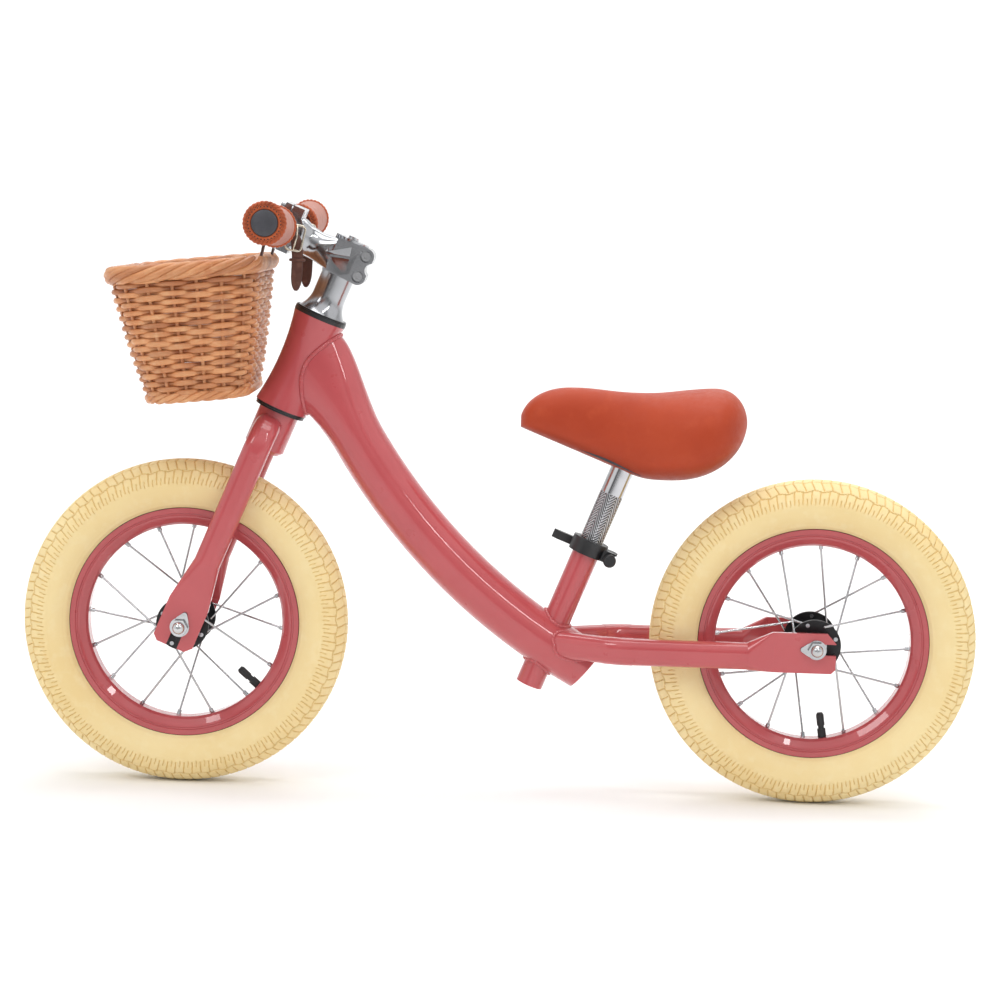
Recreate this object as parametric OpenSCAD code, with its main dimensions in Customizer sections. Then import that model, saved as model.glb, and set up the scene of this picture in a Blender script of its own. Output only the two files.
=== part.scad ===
/* [Wheels] */
// Outside diameter of both tyres
tyre_d = 304; // [252:1:366]
// Width of the tyre's round section
tyre_section = 50; // [42:1:54]
// Thickness of the tyre's casing
tyre_wall = 3.4; // [2.4:0.1:5]
// Height of the rim from its inner edge to the top of its flanges
rim_height = 16; // [13:0.5:20]
// Width over the rim's flanges
rim_width = 30; // [25:0.5:34]
// Number of spokes in each wheel, in groups of four
spoke_count = 16; // [12:4:20]
// Diameter of a spoke
spoke_d = 2; // [1.6:0.1:2.4]

/* [Hubs and axles] */
// Diameter of both axles
axle_d = 9.5; // [8:0.1:11.4]
// Diameter of the hub flanges
hub_flange_d = 49; // [44:0.5:58]
// Distance between the middles of the two flanges of a hub
hub_flange_span = 52; // [46:1:58]
// Outer diameter of the hub bearings
hub_bearing_d = 22; // [20:0.5:26]
// Distance between the insides of the fork's dropouts
front_dropout_gap = 80; // [76:1:96]
// Distance between the insides of the rear dropouts
rear_dropout_gap = 88; // [84:1:106]
// Thickness of the dropout plates
dropout_t = 5; // [4:0.5:6]
// Across flats of the axle nuts
axle_nut_af = 14; // [13:0.5:17]

/* [Frame] */
// Distance between the two axles
wheelbase = 586; // [540:1:704]
// Angle of the steering axis from the vertical
head_angle = 22; // [18:0.5:26]
// Angle of the seat tube from the vertical
seat_angle = 21.4; // [18:0.1:26]
// Outer diameter of the main tube
main_tube_d = 48.3; // [40:0.1:52]
// Radius of the main tube's long bend
main_bend_r = 568; // [520:1:680]
// Wall of the main tube
main_wall = 2.4; // [1.6:0.1:4]
// Length of the main tube behind the seat tube's axis
main_tail = 44; // [36:1:52]
// Length of the head tube between the headset cups
head_tube_l = 90; // [80:1:108]
// Diameter of the head tube at its two ends
head_tube_d = 50; // [47:0.5:56]
// Depth of the head tube's waist on each side
head_waist = 4.4; // [2:0.1:6]
// Outer diameter of the seat tube
seat_tube_d = 25.4; // [25:0.1:31.8]
// Length of the seat tube above the height of the axles
seat_tube_up = 93; // [85:1:112]
// Length of the seat tube below the height of the axles
seat_tube_down = 53; // [44:1:60]
// Height of the chainstays' oval section
stay_h = 25; // [20:0.5:28]
// Width of the chainstays' oval section
stay_w = 18; // [14:0.5:20]
// Free gap between the main tube's end and the rear tyre
tyre_gap = 48; // [30:1:60]

/* [Fork and headset] */
// Outer diameter of the steerer tube
steerer_d = 25.4; // [22.2:0.1:28.6]
// Diameter of the fork crown
crown_d = 38; // [36:0.5:44]
// Height of the fork crown
crown_h = 40; // [34:1:48]
// Gap between the tyre and the fork crown
crown_gap = 24; // [12:1:36]
// Distance of the front axle ahead of the steering axis
fork_rake = 2.5; // [0:0.1:20]
// Fore and aft size of a fork leg's oval section
leg_d = 24.7; // [20:0.1:27]
// Thickness of a fork leg's oval section
leg_w = 18; // [14:0.5:20]
// Distance of each leg's middle from the bike's middle plane
leg_y = 38; // [37:0.5:44]

/* [Stem and bars] */
// Length of the sleeve between the headset and the stem
riser_l = 37; // [30:1:46]
// Diameter of the riser sleeve
riser_d = 31; // [29.5:0.5:36]
// Height of the stem's steerer clamp
stem_h = 34.5; // [30:0.5:42]
// Distance of the bar's axis ahead of the steering axis
stem_reach = 61.5; // [52:0.5:74]
// Height of the bar's axis above the foot of the stem
stem_rise = 22.5; // [18:0.5:28]
// Diameter of the handlebar under the grips
bar_d = 22.2; // [19:0.1:23]
// Diameter of the handlebar in the stem
bar_clamp_d = 25.4; // [25:0.1:31.8]
// Overall width of the handlebar with its grips
bar_width = 416; // [350:1:500]
// Upward angle of the bar's outer parts
bar_upsweep = 2.4; // [0:0.1:6]
// Length of each grip
grip_l = 105; // [88:1:126]
// Diameter of the leather part of a grip
grip_d = 35; // [32:0.5:38]
// Diameter of the stitched braid at each end of a grip
braid_d = 38.4; // [36:0.1:42]

/* [Seat] */
// Diameter of the seat post
post_d = 22.2; // [18.5:0.1:22.6]
// Radial running clearance of shafts in their bores
running_gap = 0.05; // [0.02:0.01:0.09]
// Height of the saddle's plate above the axles, along the post
saddle_t = 166; // [150:1:198]
// Length of the seat post
post_l = 163; // [150:1:190]
// Length of the saddle
saddle_l = 209; // [174:1:250]
// Greatest width of the saddle
saddle_w = 124; // [104:1:148]

/* [Basket] */
// Width of the basket over its rope border
basket_w = 210; // [175:1:252]
// Depth of the basket from front to back over its border
basket_d = 143; // [120:1:150]
// Height of the basket
basket_h = 126; // [105:1:130]
// Depth of the basket's base
basket_base_d = 90; // [76:1:94]
// Forward tilt of the basket
basket_tilt = 6.5; // [4:0.5:9]
// Thickness of the wicker wall
wicker_t = 5; // [4:0.5:7]
// Distance of each strap from the middle plane
strap_y = 46; // [44:1:70]
// Width of each strap
strap_w = 12; // [9:0.5:16]

/* [Hidden] */

$fn = 96;
gap = 0.3;
snug = 0.1;

// Wheels
wheel_r = tyre_d / 2;
section_r = tyre_section / 2;
ring_r = wheel_r - section_r;
rim_half = rim_width / 2;
rim_top_r = ring_r - sqrt(section_r * section_r - rim_half * rim_half);
rim_in_r = rim_top_r - rim_height;
flange_lip = 2;
bead_seat_r = rim_top_r - 5.5;
well_r = rim_in_r + 6.5;
tube_wall = 1;
tube_fit = 0.4;
valve_len = 34;
valve_r = 3.9;
thread_r = 2.8;
cap_len = 12;
front_spoke_turn = 63;
rear_spoke_turn = 20.5;
front_valve_turn = -41;
rear_valve_turn = -81.6;

// Hubs and axles
flange_r = hub_flange_d / 2;
flange_t = 3;
flange_y = hub_flange_span / 2;
flange_out = flange_y + flange_t / 2;
hole_circle_r = flange_r - 4.1;
hub_half = flange_out + 2.5;
bearing_w = 7;
barrel_r = hub_bearing_d / 2 + 2.5;
spoke_r = spoke_d / 2;
spoke_lean = 45;
nipple_r = 2;
nipple_len = 9;
nipple_head_r = 3;
cone_r = 8;
washer_t = 2;
washer_r = 9;
tab_at = 12.2;
tab_r = 2.4;
nut_t = 5;
dome_wall = 1.05;
dome_r = axle_d / 2 + dome_wall;
slot_w = axle_d + 1;

// Steering axis, measured from the middle of the lower headset face
race_to_axle = wheel_r + crown_gap + crown_h + 2;
front_x = -wheelbase / 2;
rear_x = wheelbase / 2;
steer_x = front_x + fork_rake * cos(head_angle) + race_to_axle * sin(head_angle);
steer_z = wheel_r - fork_rake * sin(head_angle) + race_to_axle * cos(head_angle);
cup_lip = 2;
cup_top_lip = 4;
head_low = cup_lip;
head_high = cup_lip + head_tube_l;
head_bore_r = 17;
head_end_r = head_tube_d / 2;
cup_depth = 10;
bearing_r = 15.5;
headset_bearing_w = 6;
steerer_r = steerer_d / 2;
steerer_wall = 2;
cover_low = head_high + cup_top_lip + gap;
cover_t = 1.2;
riser_low = cover_low + cover_t;
riser_high = riser_low + riser_l;
stem_top = riser_high + stem_h;
bar_s = riser_high + stem_rise;
bar_off = -stem_reach;
steerer_top = stem_top - 3;

// Seat axis, measured from the height of the axles
tail_slope = 28;
tail_back = 4.6;
seat_x = rear_x - wheel_r - tyre_gap - main_tail * cos(tail_slope) - tail_back;
seat_r = seat_tube_d / 2;
post_r = post_d / 2;
seat_bore_r = post_r + running_gap;
collar_h = 14;
collar_t = 4.5;
collar_low = seat_tube_up - 12;
collar_r = seat_r + collar_t;
skewer_off = seat_r + 9.5;
skewer_s = collar_low + 4;
skewer_r = 2.5;
collar_slot = 3;
ear_y = 10;
cam_y = ear_y + 7;
cam_pin_r = 3.2;
rod_end = 1.5;
lever_reach = 57;
post_top = saddle_t + 15;
pocket_gap = 0.3;
base_s = saddle_t + 3;
base_t = 4;
clamp_h = 14;
clamp_bolt_r = 1.8;
clamp_bolt_off = post_r + 5.2;
clamp_pocket_r = post_r + 11.5;

// Main tube: an arc through one point by the head tube and one on the seat axis
main_r = main_tube_d / 2;
joint_head = [29, 45];
joint_seat = -9.5;
head_pt = [steer_x + joint_head[0] * cos(head_angle) + joint_head[1] * sin(head_angle),
           steer_z - joint_head[0] * sin(head_angle) + joint_head[1] * cos(head_angle)];
seat_pt = [seat_x + joint_seat * sin(seat_angle), wheel_r + joint_seat * cos(seat_angle)];
chord = seat_pt - head_pt;
chord_l = norm(chord);
bow = sqrt(main_bend_r * main_bend_r - chord_l * chord_l / 4);
bend_c = (head_pt + seat_pt) / 2 + bow * [-chord[1], chord[0]] / chord_l;
head_turn = atan2(head_pt[1] - bend_c[1], head_pt[0] - bend_c[0]) + 360;
seat_turn = atan2(seat_pt[1] - bend_c[1], seat_pt[0] - bend_c[0]) + 360;
deg_per_mm = 180 / (PI * main_bend_r);
start_turn = head_turn - 4;
end_turn = seat_turn + (main_tail + 12) * deg_per_mm;
cut_turn = seat_turn + main_tail * deg_per_mm;
cut_lean = 11.5;
blend_turn = head_turn + 4.6;
gusset_r = 18;

// Stays and fork legs
stay_y = rear_dropout_gap / 2 - 2;
stay_z = -9;
stay_bend_r = 60;
stay_bend = 26;
stay_flat_x = -62;
stay_start = 14;
drop_top = 14.8;
drop_low = -22;
drop_front = -40;
drop_back = 18;
leg_off = -3;
leg_bend_r = 26;
leg_shoulder = -16;
leg_flat_from = -(race_to_axle - 63);
leg_flat_to = -(race_to_axle - 22);
drop_half = 19.2;
drop_below = 20;

// Bars
bar_r = bar_d / 2;
bar_clamp_r = bar_clamp_d / 2;
bar_wall = 1.6;
bar_bend_y = 60;
bar_centre_half = 28;
bar_taper = 12;
knuckle = 0.25;
cap_t = 1.5;
bar_half = bar_width / 2 - cap_t;
bar_leg = (bar_half - bar_bend_y) / cos(bar_upsweep);
braid_w = 6;
plate_half = 21;
bolt_r = 2.5;
bolt_head_r = 4.2;
bolt_head_h = 4;
face_bolt_s = bar_clamp_r + 5;
face_bolt_y = 14;
ear_off = steerer_r + 5;
clamp_half = steerer_r + 3.8;
recess = 2.4;
ear_r = 7.5;
ear_top_s = stem_h - 7;
ear_low_s = 5.2;

// Basket
strap_t = 2;
tail_drop = 56;
tail_bite = 1;
strap_r = bar_clamp_r + gap;
rope_r = 8;
basket_reach = 18;
basket_hang = 22;
basket_r = 34;
buckle_r = 1;

// Coordinates of the three local frames
module at_steering() {
    translate([steer_x, 0, steer_z]) rotate([0, head_angle, 0]) children();
}

module at_seat_axis() {
    translate([seat_x, 0, wheel_r]) rotate([0, seat_angle, 0]) children();
}

// Local x is forward to back, y is up and z points to the rider's left
module at_wheel(x) {
    translate([x, 0, wheel_r]) rotate([90, 0, 0]) children();
}

module both_sides() {
    children();
    mirror([0, 1, 0]) children();
}

module both_faces() {
    children();
    mirror([0, 0, 1]) children();
}

// A flat oval, w along x and d along y, with round ends
module oval(w, d) {
    if (w < d) {
        square([w, d - w], center = true);
        translate([0, (d - w) / 2]) circle(d = w);
        translate([0, -(d - w) / 2]) circle(d = w);
    } else {
        square([w - d, d], center = true);
        translate([(w - d) / 2, 0]) circle(d = d);
        translate([-(w - d) / 2, 0]) circle(d = d);
    }
}

module tube(r, hole_r, h) {
    difference() {
        cylinder(r = r, h = h);
        translate([0, 0, -1]) cylinder(r = hole_r, h = h + 2);
    }
}

// ---------------------------------------------------------------- frame

module main_arc(r, from, to) {
    translate([bend_c[0], 0, bend_c[1]])
        rotate([90, 0, 0])
            rotate([0, 0, from])
                rotate_extrude(angle = to - from, $fn = 180)
                    translate([main_bend_r, 0]) circle(r = r, $fn = 64);
}

module at_main_turn(turn) {
    translate([bend_c[0], 0, bend_c[1]])
        rotate([0, -turn, 0])
            translate([main_bend_r, 0, 0]) children();
}

module main_solid() {
    difference() {
        union() {
            main_arc(main_r, start_turn, end_turn);
            hull() {
                at_main_turn(blend_turn) cylinder(r = main_r, h = 1, center = true, $fn = 48);
                at_steering()
                    translate([2, 0, head_low + 5]) cylinder(r = gusset_r, h = head_tube_l - 12, $fn = 48);
            }
        }
        at_main_turn(cut_turn) rotate([0, -cut_lean, 0]) translate([-60, -60, 0]) cube(120);
    }
}

module main_tube() {
    color("#c6606a")
        difference() {
            main_solid();
            main_arc(main_r - main_wall, head_turn + 3, end_turn + 1);
            at_steering() cylinder(r = head_end_r, h = head_high + 60);
            at_steering() translate([-100, -60, -60]) cube([100, 120, 240]);
            at_steering() translate([-100, -60, -60]) cube([101 + head_end_r, 120, 60 + head_low]);
            at_seat_axis() translate([0, 0, -90]) cylinder(r = seat_r, h = 200);
        }
}

module head_tube() {
    waist_r = (head_tube_l * head_tube_l / 4 + head_waist * head_waist) / (2 * head_waist);
    color("#c6606a")
        at_steering()
            difference() {
                translate([0, 0, head_low])
                    rotate_extrude(convexity = 4)
                        difference() {
                            square([head_end_r, head_tube_l]);
                            translate([head_end_r - head_waist + waist_r, head_tube_l / 2])
                                circle(r = waist_r, $fn = 360);
                        }
                cylinder(r = head_bore_r, h = head_high + 10);
            }
}

module seat_tube() {
    color("#c6606a")
        at_seat_axis()
            difference() {
                translate([0, 0, -seat_tube_down])
                    tube(seat_r, seat_bore_r, seat_tube_down + seat_tube_up);
                translate([0, -collar_slot / 2, seat_tube_up - 28]) cube([30, collar_slot, 40]);
            }
}

// Local x runs along the stay from the rear axle, and z is up
module stay_path() {
    straight_from = -(wheel_r + 16);
    into = 2;
    translate([straight_from - into, stay_y, stay_z])
        rotate([0, 90, 0]) linear_extrude(stay_flat_x - 0.5 - straight_from + into) oval(stay_h, stay_w);
    translate([straight_from, stay_y, stay_z])
        translate([0, -stay_bend_r, 0])
            rotate([0, 0, 90])
                rotate_extrude(angle = stay_bend)
                    translate([stay_bend_r, 0]) oval(stay_w + 2 * knuckle, stay_h + 2 * knuckle);
    translate([straight_from, stay_y, stay_z])
        translate([-stay_bend_r * sin(stay_bend), -stay_bend_r * (1 - cos(stay_bend)), 0])
            rotate([0, 0, stay_bend])
                translate([into, 0, 0])
                    rotate([0, -90, 0]) linear_extrude(wheel_r / 3) oval(stay_h, stay_w);
}

module rear_dropout() {
    plate_y = rear_dropout_gap / 2;
    difference() {
        union() {
            hull() {
                translate([stay_flat_x - 1, stay_y, stay_z])
                    rotate([0, 90, 0])
                        linear_extrude(1) oval(stay_h + 2 * knuckle, stay_w + 2 * knuckle, $fn = 32);
                translate([drop_front, plate_y, drop_low]) cube([1, dropout_t, drop_top - drop_low]);
            }
            translate([0, plate_y + dropout_t, 0])
                rotate([90, 0, 0])
                    linear_extrude(dropout_t)
                        polygon([[drop_front, drop_low], [drop_back - 4, drop_low], [drop_back, drop_low + 4],
                                 [drop_back, drop_top - 9], [drop_back - 8, drop_top],
                                 [drop_front, drop_top]]);
        }
        translate([0, plate_y - 1, 0]) rotate([-90, 0, 0]) cylinder(d = slot_w, h = dropout_t + 2);
        translate([0, plate_y - 1, -slot_w / 2]) cube([drop_back + 1, dropout_t + 2, slot_w]);
        translate([-tab_at, plate_y - 1, 0])
            rotate([-90, 0, 0]) cylinder(r = tab_r + gap, h = dropout_t + 2);
    }
}

module right_chainstay() {
    color("#c6606a")
        difference() {
            translate([rear_x, 0, wheel_r]) {
                stay_path();
                rear_dropout();
            }
            main_arc(main_r, start_turn, end_turn);
            at_seat_axis() translate([0, 0, -90]) cylinder(r = seat_r, h = 200);
            translate([seat_x - 100, -60, 0]) cube([500, 60 + stay_start / 2, 2 * wheel_r]);
        }
}

module left_chainstay() {
    mirror([0, 1, 0]) right_chainstay();
}

module headset_cups() {
    color("#202022")
        at_steering() {
            difference() {
                union() {
                    cylinder(r = head_end_r - 1, h = cup_lip);
                    cylinder(r = head_bore_r, h = cup_depth + cup_lip);
                }
                translate([0, 0, -1]) cylinder(r = bearing_r, h = headset_bearing_w + 2);
                translate([0, 0, -1]) cylinder(r = steerer_r + 1, h = 40);
            }
            difference() {
                union() {
                    translate([0, 0, head_high]) cylinder(r = head_end_r, h = cup_top_lip);
                    translate([0, 0, head_high - cup_depth])
                        cylinder(r = head_bore_r, h = cup_depth + 1);
                }
                translate([0, 0, head_high + cup_top_lip - headset_bearing_w])
                    cylinder(r = bearing_r, h = headset_bearing_w + 2);
                translate([0, 0, head_high - 30]) cylinder(r = steerer_r + 1, h = 60);
            }
        }
}

module headset_bearings() {
    color("silver")
        at_steering()
            for (low = [1, head_high + cup_top_lip - headset_bearing_w])
                translate([0, 0, low]) tube(bearing_r, steerer_r + running_gap, headset_bearing_w);
}

module seat_clamp_collar() {
    color("#1c1c1e")
        at_seat_axis()
            difference() {
                union() {
                    translate([0, 0, collar_low]) cylinder(r = collar_r, h = collar_h);
                    translate([seat_r + 1, -ear_y, collar_low]) cube([12, 2 * ear_y, 11]);
                    translate([skewer_off, 0, skewer_s])
                        rotate([90, 0, 0]) cylinder(r = 5.5, h = 2 * ear_y, center = true);
                }
                translate([0, 0, collar_low - 1]) cylinder(r = seat_r, h = seat_tube_up - collar_low + 1);
                cylinder(r = seat_bore_r + 0.4, h = 200);
                translate([0, -collar_slot / 2, 0]) cube([60, collar_slot, 200]);
                translate([skewer_off, 0, skewer_s])
                    rotate([90, 0, 0]) cylinder(r = skewer_r, h = 60, center = true);
            }
}

// The skewer's far end carries the cam pin, which lies along the seat axis
module seat_clamp_skewer() {
    color("silver")
        at_seat_axis()
            translate([skewer_off, 0, skewer_s]) {
                rotate([90, 0, 0])
                    translate([0, 0, -cam_y - rod_end]) cylinder(r = skewer_r, h = cam_y + rod_end + ear_y + 6);
                translate([0, cam_y, -5.5]) cylinder(r = cam_pin_r, h = 11);
            }
}

module seat_clamp_nut() {
    color("#1c1c1e")
        at_seat_axis()
            translate([skewer_off, -ear_y, skewer_s])
                rotate([90, 0, 0])
                    difference() {
                        union() {
                            cylinder(r = 6, h = 7.5);
                            translate([0, 0, 7.5]) cylinder(r1 = 6, r2 = 5, h = 1);
                        }
                        translate([0, 0, -1]) cylinder(r = skewer_r, h = 7);
                    }
}

// The lever's cam turns on the skewer's cross pin
module clamp_lever() {
    color("#1c1c1e")
        at_seat_axis()
            translate([skewer_off, cam_y, skewer_s])
                difference() {
                    union() {
                        translate([0, 0, -5.5]) cylinder(r = 6.6, h = 11);
                        linear_extrude(8, center = true)
                            polygon([[2, -4], [-12, 1.5], [-lever_reach + 6, 0], [-lever_reach, 2.5],
                                     [-lever_reach, 5.5], [-lever_reach + 5, 7], [-10, 7.5], [2, 6.4]]);
                    }
                    translate([0, 0, -10]) cylinder(r = cam_pin_r + running_gap, h = 20);
                    linear_extrude(2 * (skewer_r + gap), center = true)
                        polygon([[-skewer_r - gap, 0], [-skewer_r - gap, -12], [20, -12], [20, 14],
                                 [-1, 14], [-3, 5]]);
                }
}

// ---------------------------------------------------------------- axles

module axle(x, gap_between) {
    half = gap_between / 2 + dropout_t + washer_t + nut_t + 3;
    at_wheel(x) cylinder(r = axle_d / 2, h = 2 * half, center = true);
}

module cones(x, gap_between) {
    low = hub_half + gap;
    at_wheel(x)
        both_faces()
            translate([0, 0, low])
                difference() {
                    union() {
                        cylinder(r = cone_r, h = gap_between / 2 - low - 4);
                        translate([0, 0, gap_between / 2 - low - 4])
                            cylinder(r = cone_r, h = 4, $fn = 6);
                    }
                    translate([0, 0, -1]) cylinder(r = axle_d / 2, h = 60);
                }
}

// Teardrop washer whose tab points along turn and drops into the plate's hole
module tab_washers(x, gap_between, turn) {
    at_wheel(x)
        both_faces()
            translate([0, 0, gap_between / 2 + dropout_t])
                rotate([0, 0, turn])
                    difference() {
                        union() {
                            cylinder(r = washer_r, h = washer_t);
                            hull() {
                                translate([5, 0, 0]) cylinder(r = 6.5, h = washer_t, $fn = 32);
                                translate([tab_at, 0, 0]) cylinder(r = tab_r, h = washer_t, $fn = 32);
                            }
                            translate([tab_at, 0, -dropout_t + 1]) cylinder(r = tab_r, h = dropout_t);
                        }
                        translate([0, 0, -1]) cylinder(r = axle_d / 2, h = 9);
                    }
}

module axle_nuts(x, gap_between) {
    at_wheel(x)
        both_faces()
            translate([0, 0, gap_between / 2 + dropout_t + washer_t])
                difference() {
                    union() {
                        cylinder(d = axle_nut_af / cos(30), h = nut_t, $fn = 6);
                        intersection() {
                            translate([0, 0, nut_t]) sphere(r = dome_r);
                            translate([0, 0, nut_t]) cylinder(r = dome_r, h = 20);
                        }
                    }
                    translate([0, 0, -1]) cylinder(r = axle_d / 2, h = nut_t + 4);
                }
}

module rear_axle() {
    color("silver") axle(rear_x, rear_dropout_gap);
}

module rear_cones() {
    color("#3a3a3c") cones(rear_x, rear_dropout_gap);
}

module rear_axle_nuts() {
    color("silver") axle_nuts(rear_x, rear_dropout_gap);
}

module rear_tab_washers() {
    color("silver") tab_washers(rear_x, rear_dropout_gap, 180);
}

module front_axle() {
    color("silver") axle(front_x, front_dropout_gap);
}

module front_cones() {
    color("#3a3a3c") cones(front_x, front_dropout_gap);
}

module front_axle_nuts() {
    color("silver") axle_nuts(front_x, front_dropout_gap);
}

module front_tab_washers() {
    color("silver") tab_washers(front_x, front_dropout_gap, 90 - head_angle);
}

// ---------------------------------------------------------------- fork

module steerer_tube() {
    color("silver")
        at_steering()
            translate([0, 0, -crown_h]) tube(steerer_r, steerer_r - steerer_wall, crown_h + steerer_top);
}

module fork_crown() {
    color("#c6606a")
        at_steering()
            translate([0, 0, -2 - crown_h])
                difference() {
                    union() {
                        cylinder(r1 = crown_d / 2 - 4, r2 = crown_d / 2, h = 4);
                        translate([0, 0, 4]) cylinder(d = crown_d, h = crown_h - 4);
                    }
                    translate([0, 0, 2]) cylinder(r = steerer_r, h = crown_h);
                }
}

module crown_race() {
    color("#202022")
        at_steering()
            translate([0, 0, -2]) tube(head_end_r - 1.5, steerer_r, 2 - gap);
}

module right_fork_leg() {
    plate_y = front_dropout_gap / 2;
    bend_y = leg_y - leg_bend_r;
    bend_s = leg_shoulder - leg_bend_r;
    color("#c6606a")
        at_steering()
            difference() {
                union() {
                    translate([leg_off, bend_y, bend_s])
                        rotate([0, 90, 0])
                            rotate([0, 0, 90])
                                rotate_extrude(angle = 90)
                                    translate([leg_bend_r, 0]) oval(leg_w, leg_d);
                    translate([leg_off, leg_y, leg_flat_from])
                        linear_extrude(bend_s - leg_flat_from) oval(leg_d, leg_w);
                    hull() {
                        translate([leg_off, leg_y, leg_flat_from])
                            linear_extrude(1) oval(leg_d, leg_w, $fn = 32);
                        translate([leg_off - drop_half, plate_y, leg_flat_to])
                            cube([2 * drop_half, dropout_t, 1]);
                    }
                    translate([leg_off, plate_y + dropout_t, -race_to_axle])
                        rotate([90, 0, 0])
                            linear_extrude(dropout_t)
                                polygon([[-drop_half, 22], [-drop_half, -drop_below + 5],
                                         [-drop_half + 5, -drop_below], [drop_half - 6, -drop_below],
                                         [drop_half, -drop_below + 6], [drop_half, 22]]);
                }
                translate([0, 0, -3 - crown_h]) cylinder(d = crown_d, h = crown_h + 20);
                translate([-fork_rake, plate_y - 1, -race_to_axle])
                    rotate([-90, 0, 0]) cylinder(d = slot_w, h = dropout_t + 2);
                translate([-fork_rake - slot_w / 2, plate_y - 1, -race_to_axle - 40])
                    cube([slot_w, dropout_t + 2, 40]);
                translate([-fork_rake, plate_y - 1, -race_to_axle + tab_at])
                    rotate([-90, 0, 0]) cylinder(r = tab_r + gap, h = dropout_t + 2);
            }
}

module left_fork_leg() {
    mirror([0, 1, 0]) right_fork_leg();
}

module headset_top_cover() {
    color("#202022")
        at_steering() translate([0, 0, cover_low]) tube(head_end_r - 0.4, steerer_r, cover_t);
}

module riser_sleeve() {
    flare = 17;
    foot_r = 22;
    step = foot_r - riser_d / 2;
    flare_r = (flare * flare + step * step) / (2 * step);
    color("silver")
        at_steering()
            translate([0, 0, riser_low])
                rotate_extrude(convexity = 4)
                    difference() {
                        square([foot_r, riser_l]);
                        square([2 * steerer_r, 3 * riser_l], center = true);
                        translate([riser_d / 2 + flare_r, flare]) circle(r = flare_r, $fn = 180);
                        translate([riser_d / 2, flare]) square([30, riser_l]);
                    }
}

// ---------------------------------------------------------------- stem and bars

module at_bar() {
    at_steering() translate([bar_off, 0, bar_s]) children();
}

module stem() {
    color("#d4d6d8")
        at_steering()
            difference() {
                union() {
                    translate([0, 0, riser_high]) cylinder(r = clamp_half - snug, h = stem_h);
                    translate([0, 14, 0])
                        rotate([90, 0, 0])
                            linear_extrude(28)
                                polygon([[0, riser_high], [0, stem_top], [-16, stem_top - 1],
                                         [bar_off + 16, bar_s + 14], [bar_off + 4, bar_s + 14],
                                         [bar_off + 4, bar_s - 14], [bar_off + 22, riser_high + 3]]);
                    translate([bar_off, 0, bar_s])
                        rotate([90, 0, 0]) cylinder(r = bar_clamp_r + 4.6, h = 2 * plate_half, center = true);
                    for (side = [-1, 1])
                        translate([bar_off, -plate_half, bar_s + side * face_bolt_s - 4])
                            cube([11, 2 * plate_half, 8]);
                    translate([0, 0, riser_high]) {
                        rotate([90, 0, 0])
                            linear_extrude(2 * clamp_half, center = true)
                                polygon([[-12, 2], [ear_off, 1], [ear_off, stem_h - 1], [-12, stem_h - 1.5]]);
                        for (s = [ear_low_s + 2.3, ear_top_s])
                            translate([ear_off, 0, s])
                                rotate([90, 0, 0]) cylinder(r = ear_r, h = 2 * clamp_half, center = true);
                    }
                }
                translate([0, 0, riser_high - 1]) cylinder(r = steerer_r, h = stem_h + 2);
                translate([0, 0, riser_high - 9]) cylinder(r = 30, h = 9);
                translate([ear_off + 8.5, 0, riser_high + stem_h / 2])
                    rotate([90, 0, 0]) cylinder(r = 5.5, h = 40, center = true);
                translate([0, -1.2, riser_high - 1]) cube([60, 2.4, stem_h + 2]);
                translate([bar_off, 0, bar_s])
                    rotate([90, 0, 0]) cylinder(r = bar_clamp_r, h = 80, center = true);
                translate([bar_off - 60 + 0.6, -50, bar_s - 50]) cube([60, 100, 100]);
                for (side = [-1, 1])
                    translate([0, side * clamp_half, riser_high])
                        rotate([90, 0, 0])
                            linear_extrude(2 * recess, center = true)
                                polygon([[-19, 0.46 * stem_h], [2, 0.87 * stem_h], [6, 0.11 * stem_h]]);
                stem_bolt_holes();
            }
}

module stem_faceplate() {
    color("#d4d6d8")
        at_bar()
            difference() {
                union() {
                    rotate([90, 0, 0]) cylinder(r = bar_clamp_r + 4.6, h = 2 * plate_half, center = true);
                    for (side = [-1, 1])
                        translate([-7, -plate_half, side * face_bolt_s - 4])
                            cube([7, 2 * plate_half, 8]);
                }
                rotate([90, 0, 0]) cylinder(r = bar_clamp_r, h = 80, center = true);
                translate([-0.6, -50, -50]) cube([60, 100, 100]);
                translate([-bar_off, 0, -bar_s]) stem_bolt_holes();
            }
}

// Local z of each child is the direction in which its bolt is driven
module at_stem_bolts() {
    for (side = [-1, 1])
        for (y = [-face_bolt_y, face_bolt_y])
            translate([bar_off - 7, y, bar_s + side * face_bolt_s]) rotate([0, 90, 0]) children();
    for (s = [ear_low_s + 2.3, ear_top_s])
        translate([ear_off, -9, riser_high + s]) rotate([-90, 0, 0]) children();
}

module stem_bolt_holes() {
    at_stem_bolts() {
        translate([0, 0, -1]) cylinder(r = bolt_r, h = 16);
        translate([0, 0, -20]) cylinder(r = bolt_head_r + snug, h = 20);
    }
}

module stem_bolts() {
    color("#c8cacc")
        at_steering()
            at_stem_bolts() {
                cylinder(r = bolt_r, h = 15);
                translate([0, 0, -bolt_head_h])
                    difference() {
                        cylinder(r = bolt_head_r, h = bolt_head_h);
                        translate([0, 0, -1]) cylinder(r = 2.2, h = 3, $fn = 6);
                    }
            }
}

module top_cap() {
    color("#b8babd")
        at_steering()
            translate([0, 0, stem_top]) tube(steerer_r + 3.5, 3, 2);
}

module top_cap_bolt() {
    color("#c8cacc")
        at_steering() {
            translate([0, 0, stem_top - 22]) cylinder(r = 3, h = 24);
            difference() {
                translate([0, 0, stem_top + 2]) cylinder(r = 5, h = 2.4);
                translate([0, 0, stem_top + 3]) cylinder(r = 2.6, h = 3, $fn = 6);
            }
            translate([0, 0, stem_top - 20]) tube(steerer_r - steerer_wall, 3, 4);
        }
}

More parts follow.
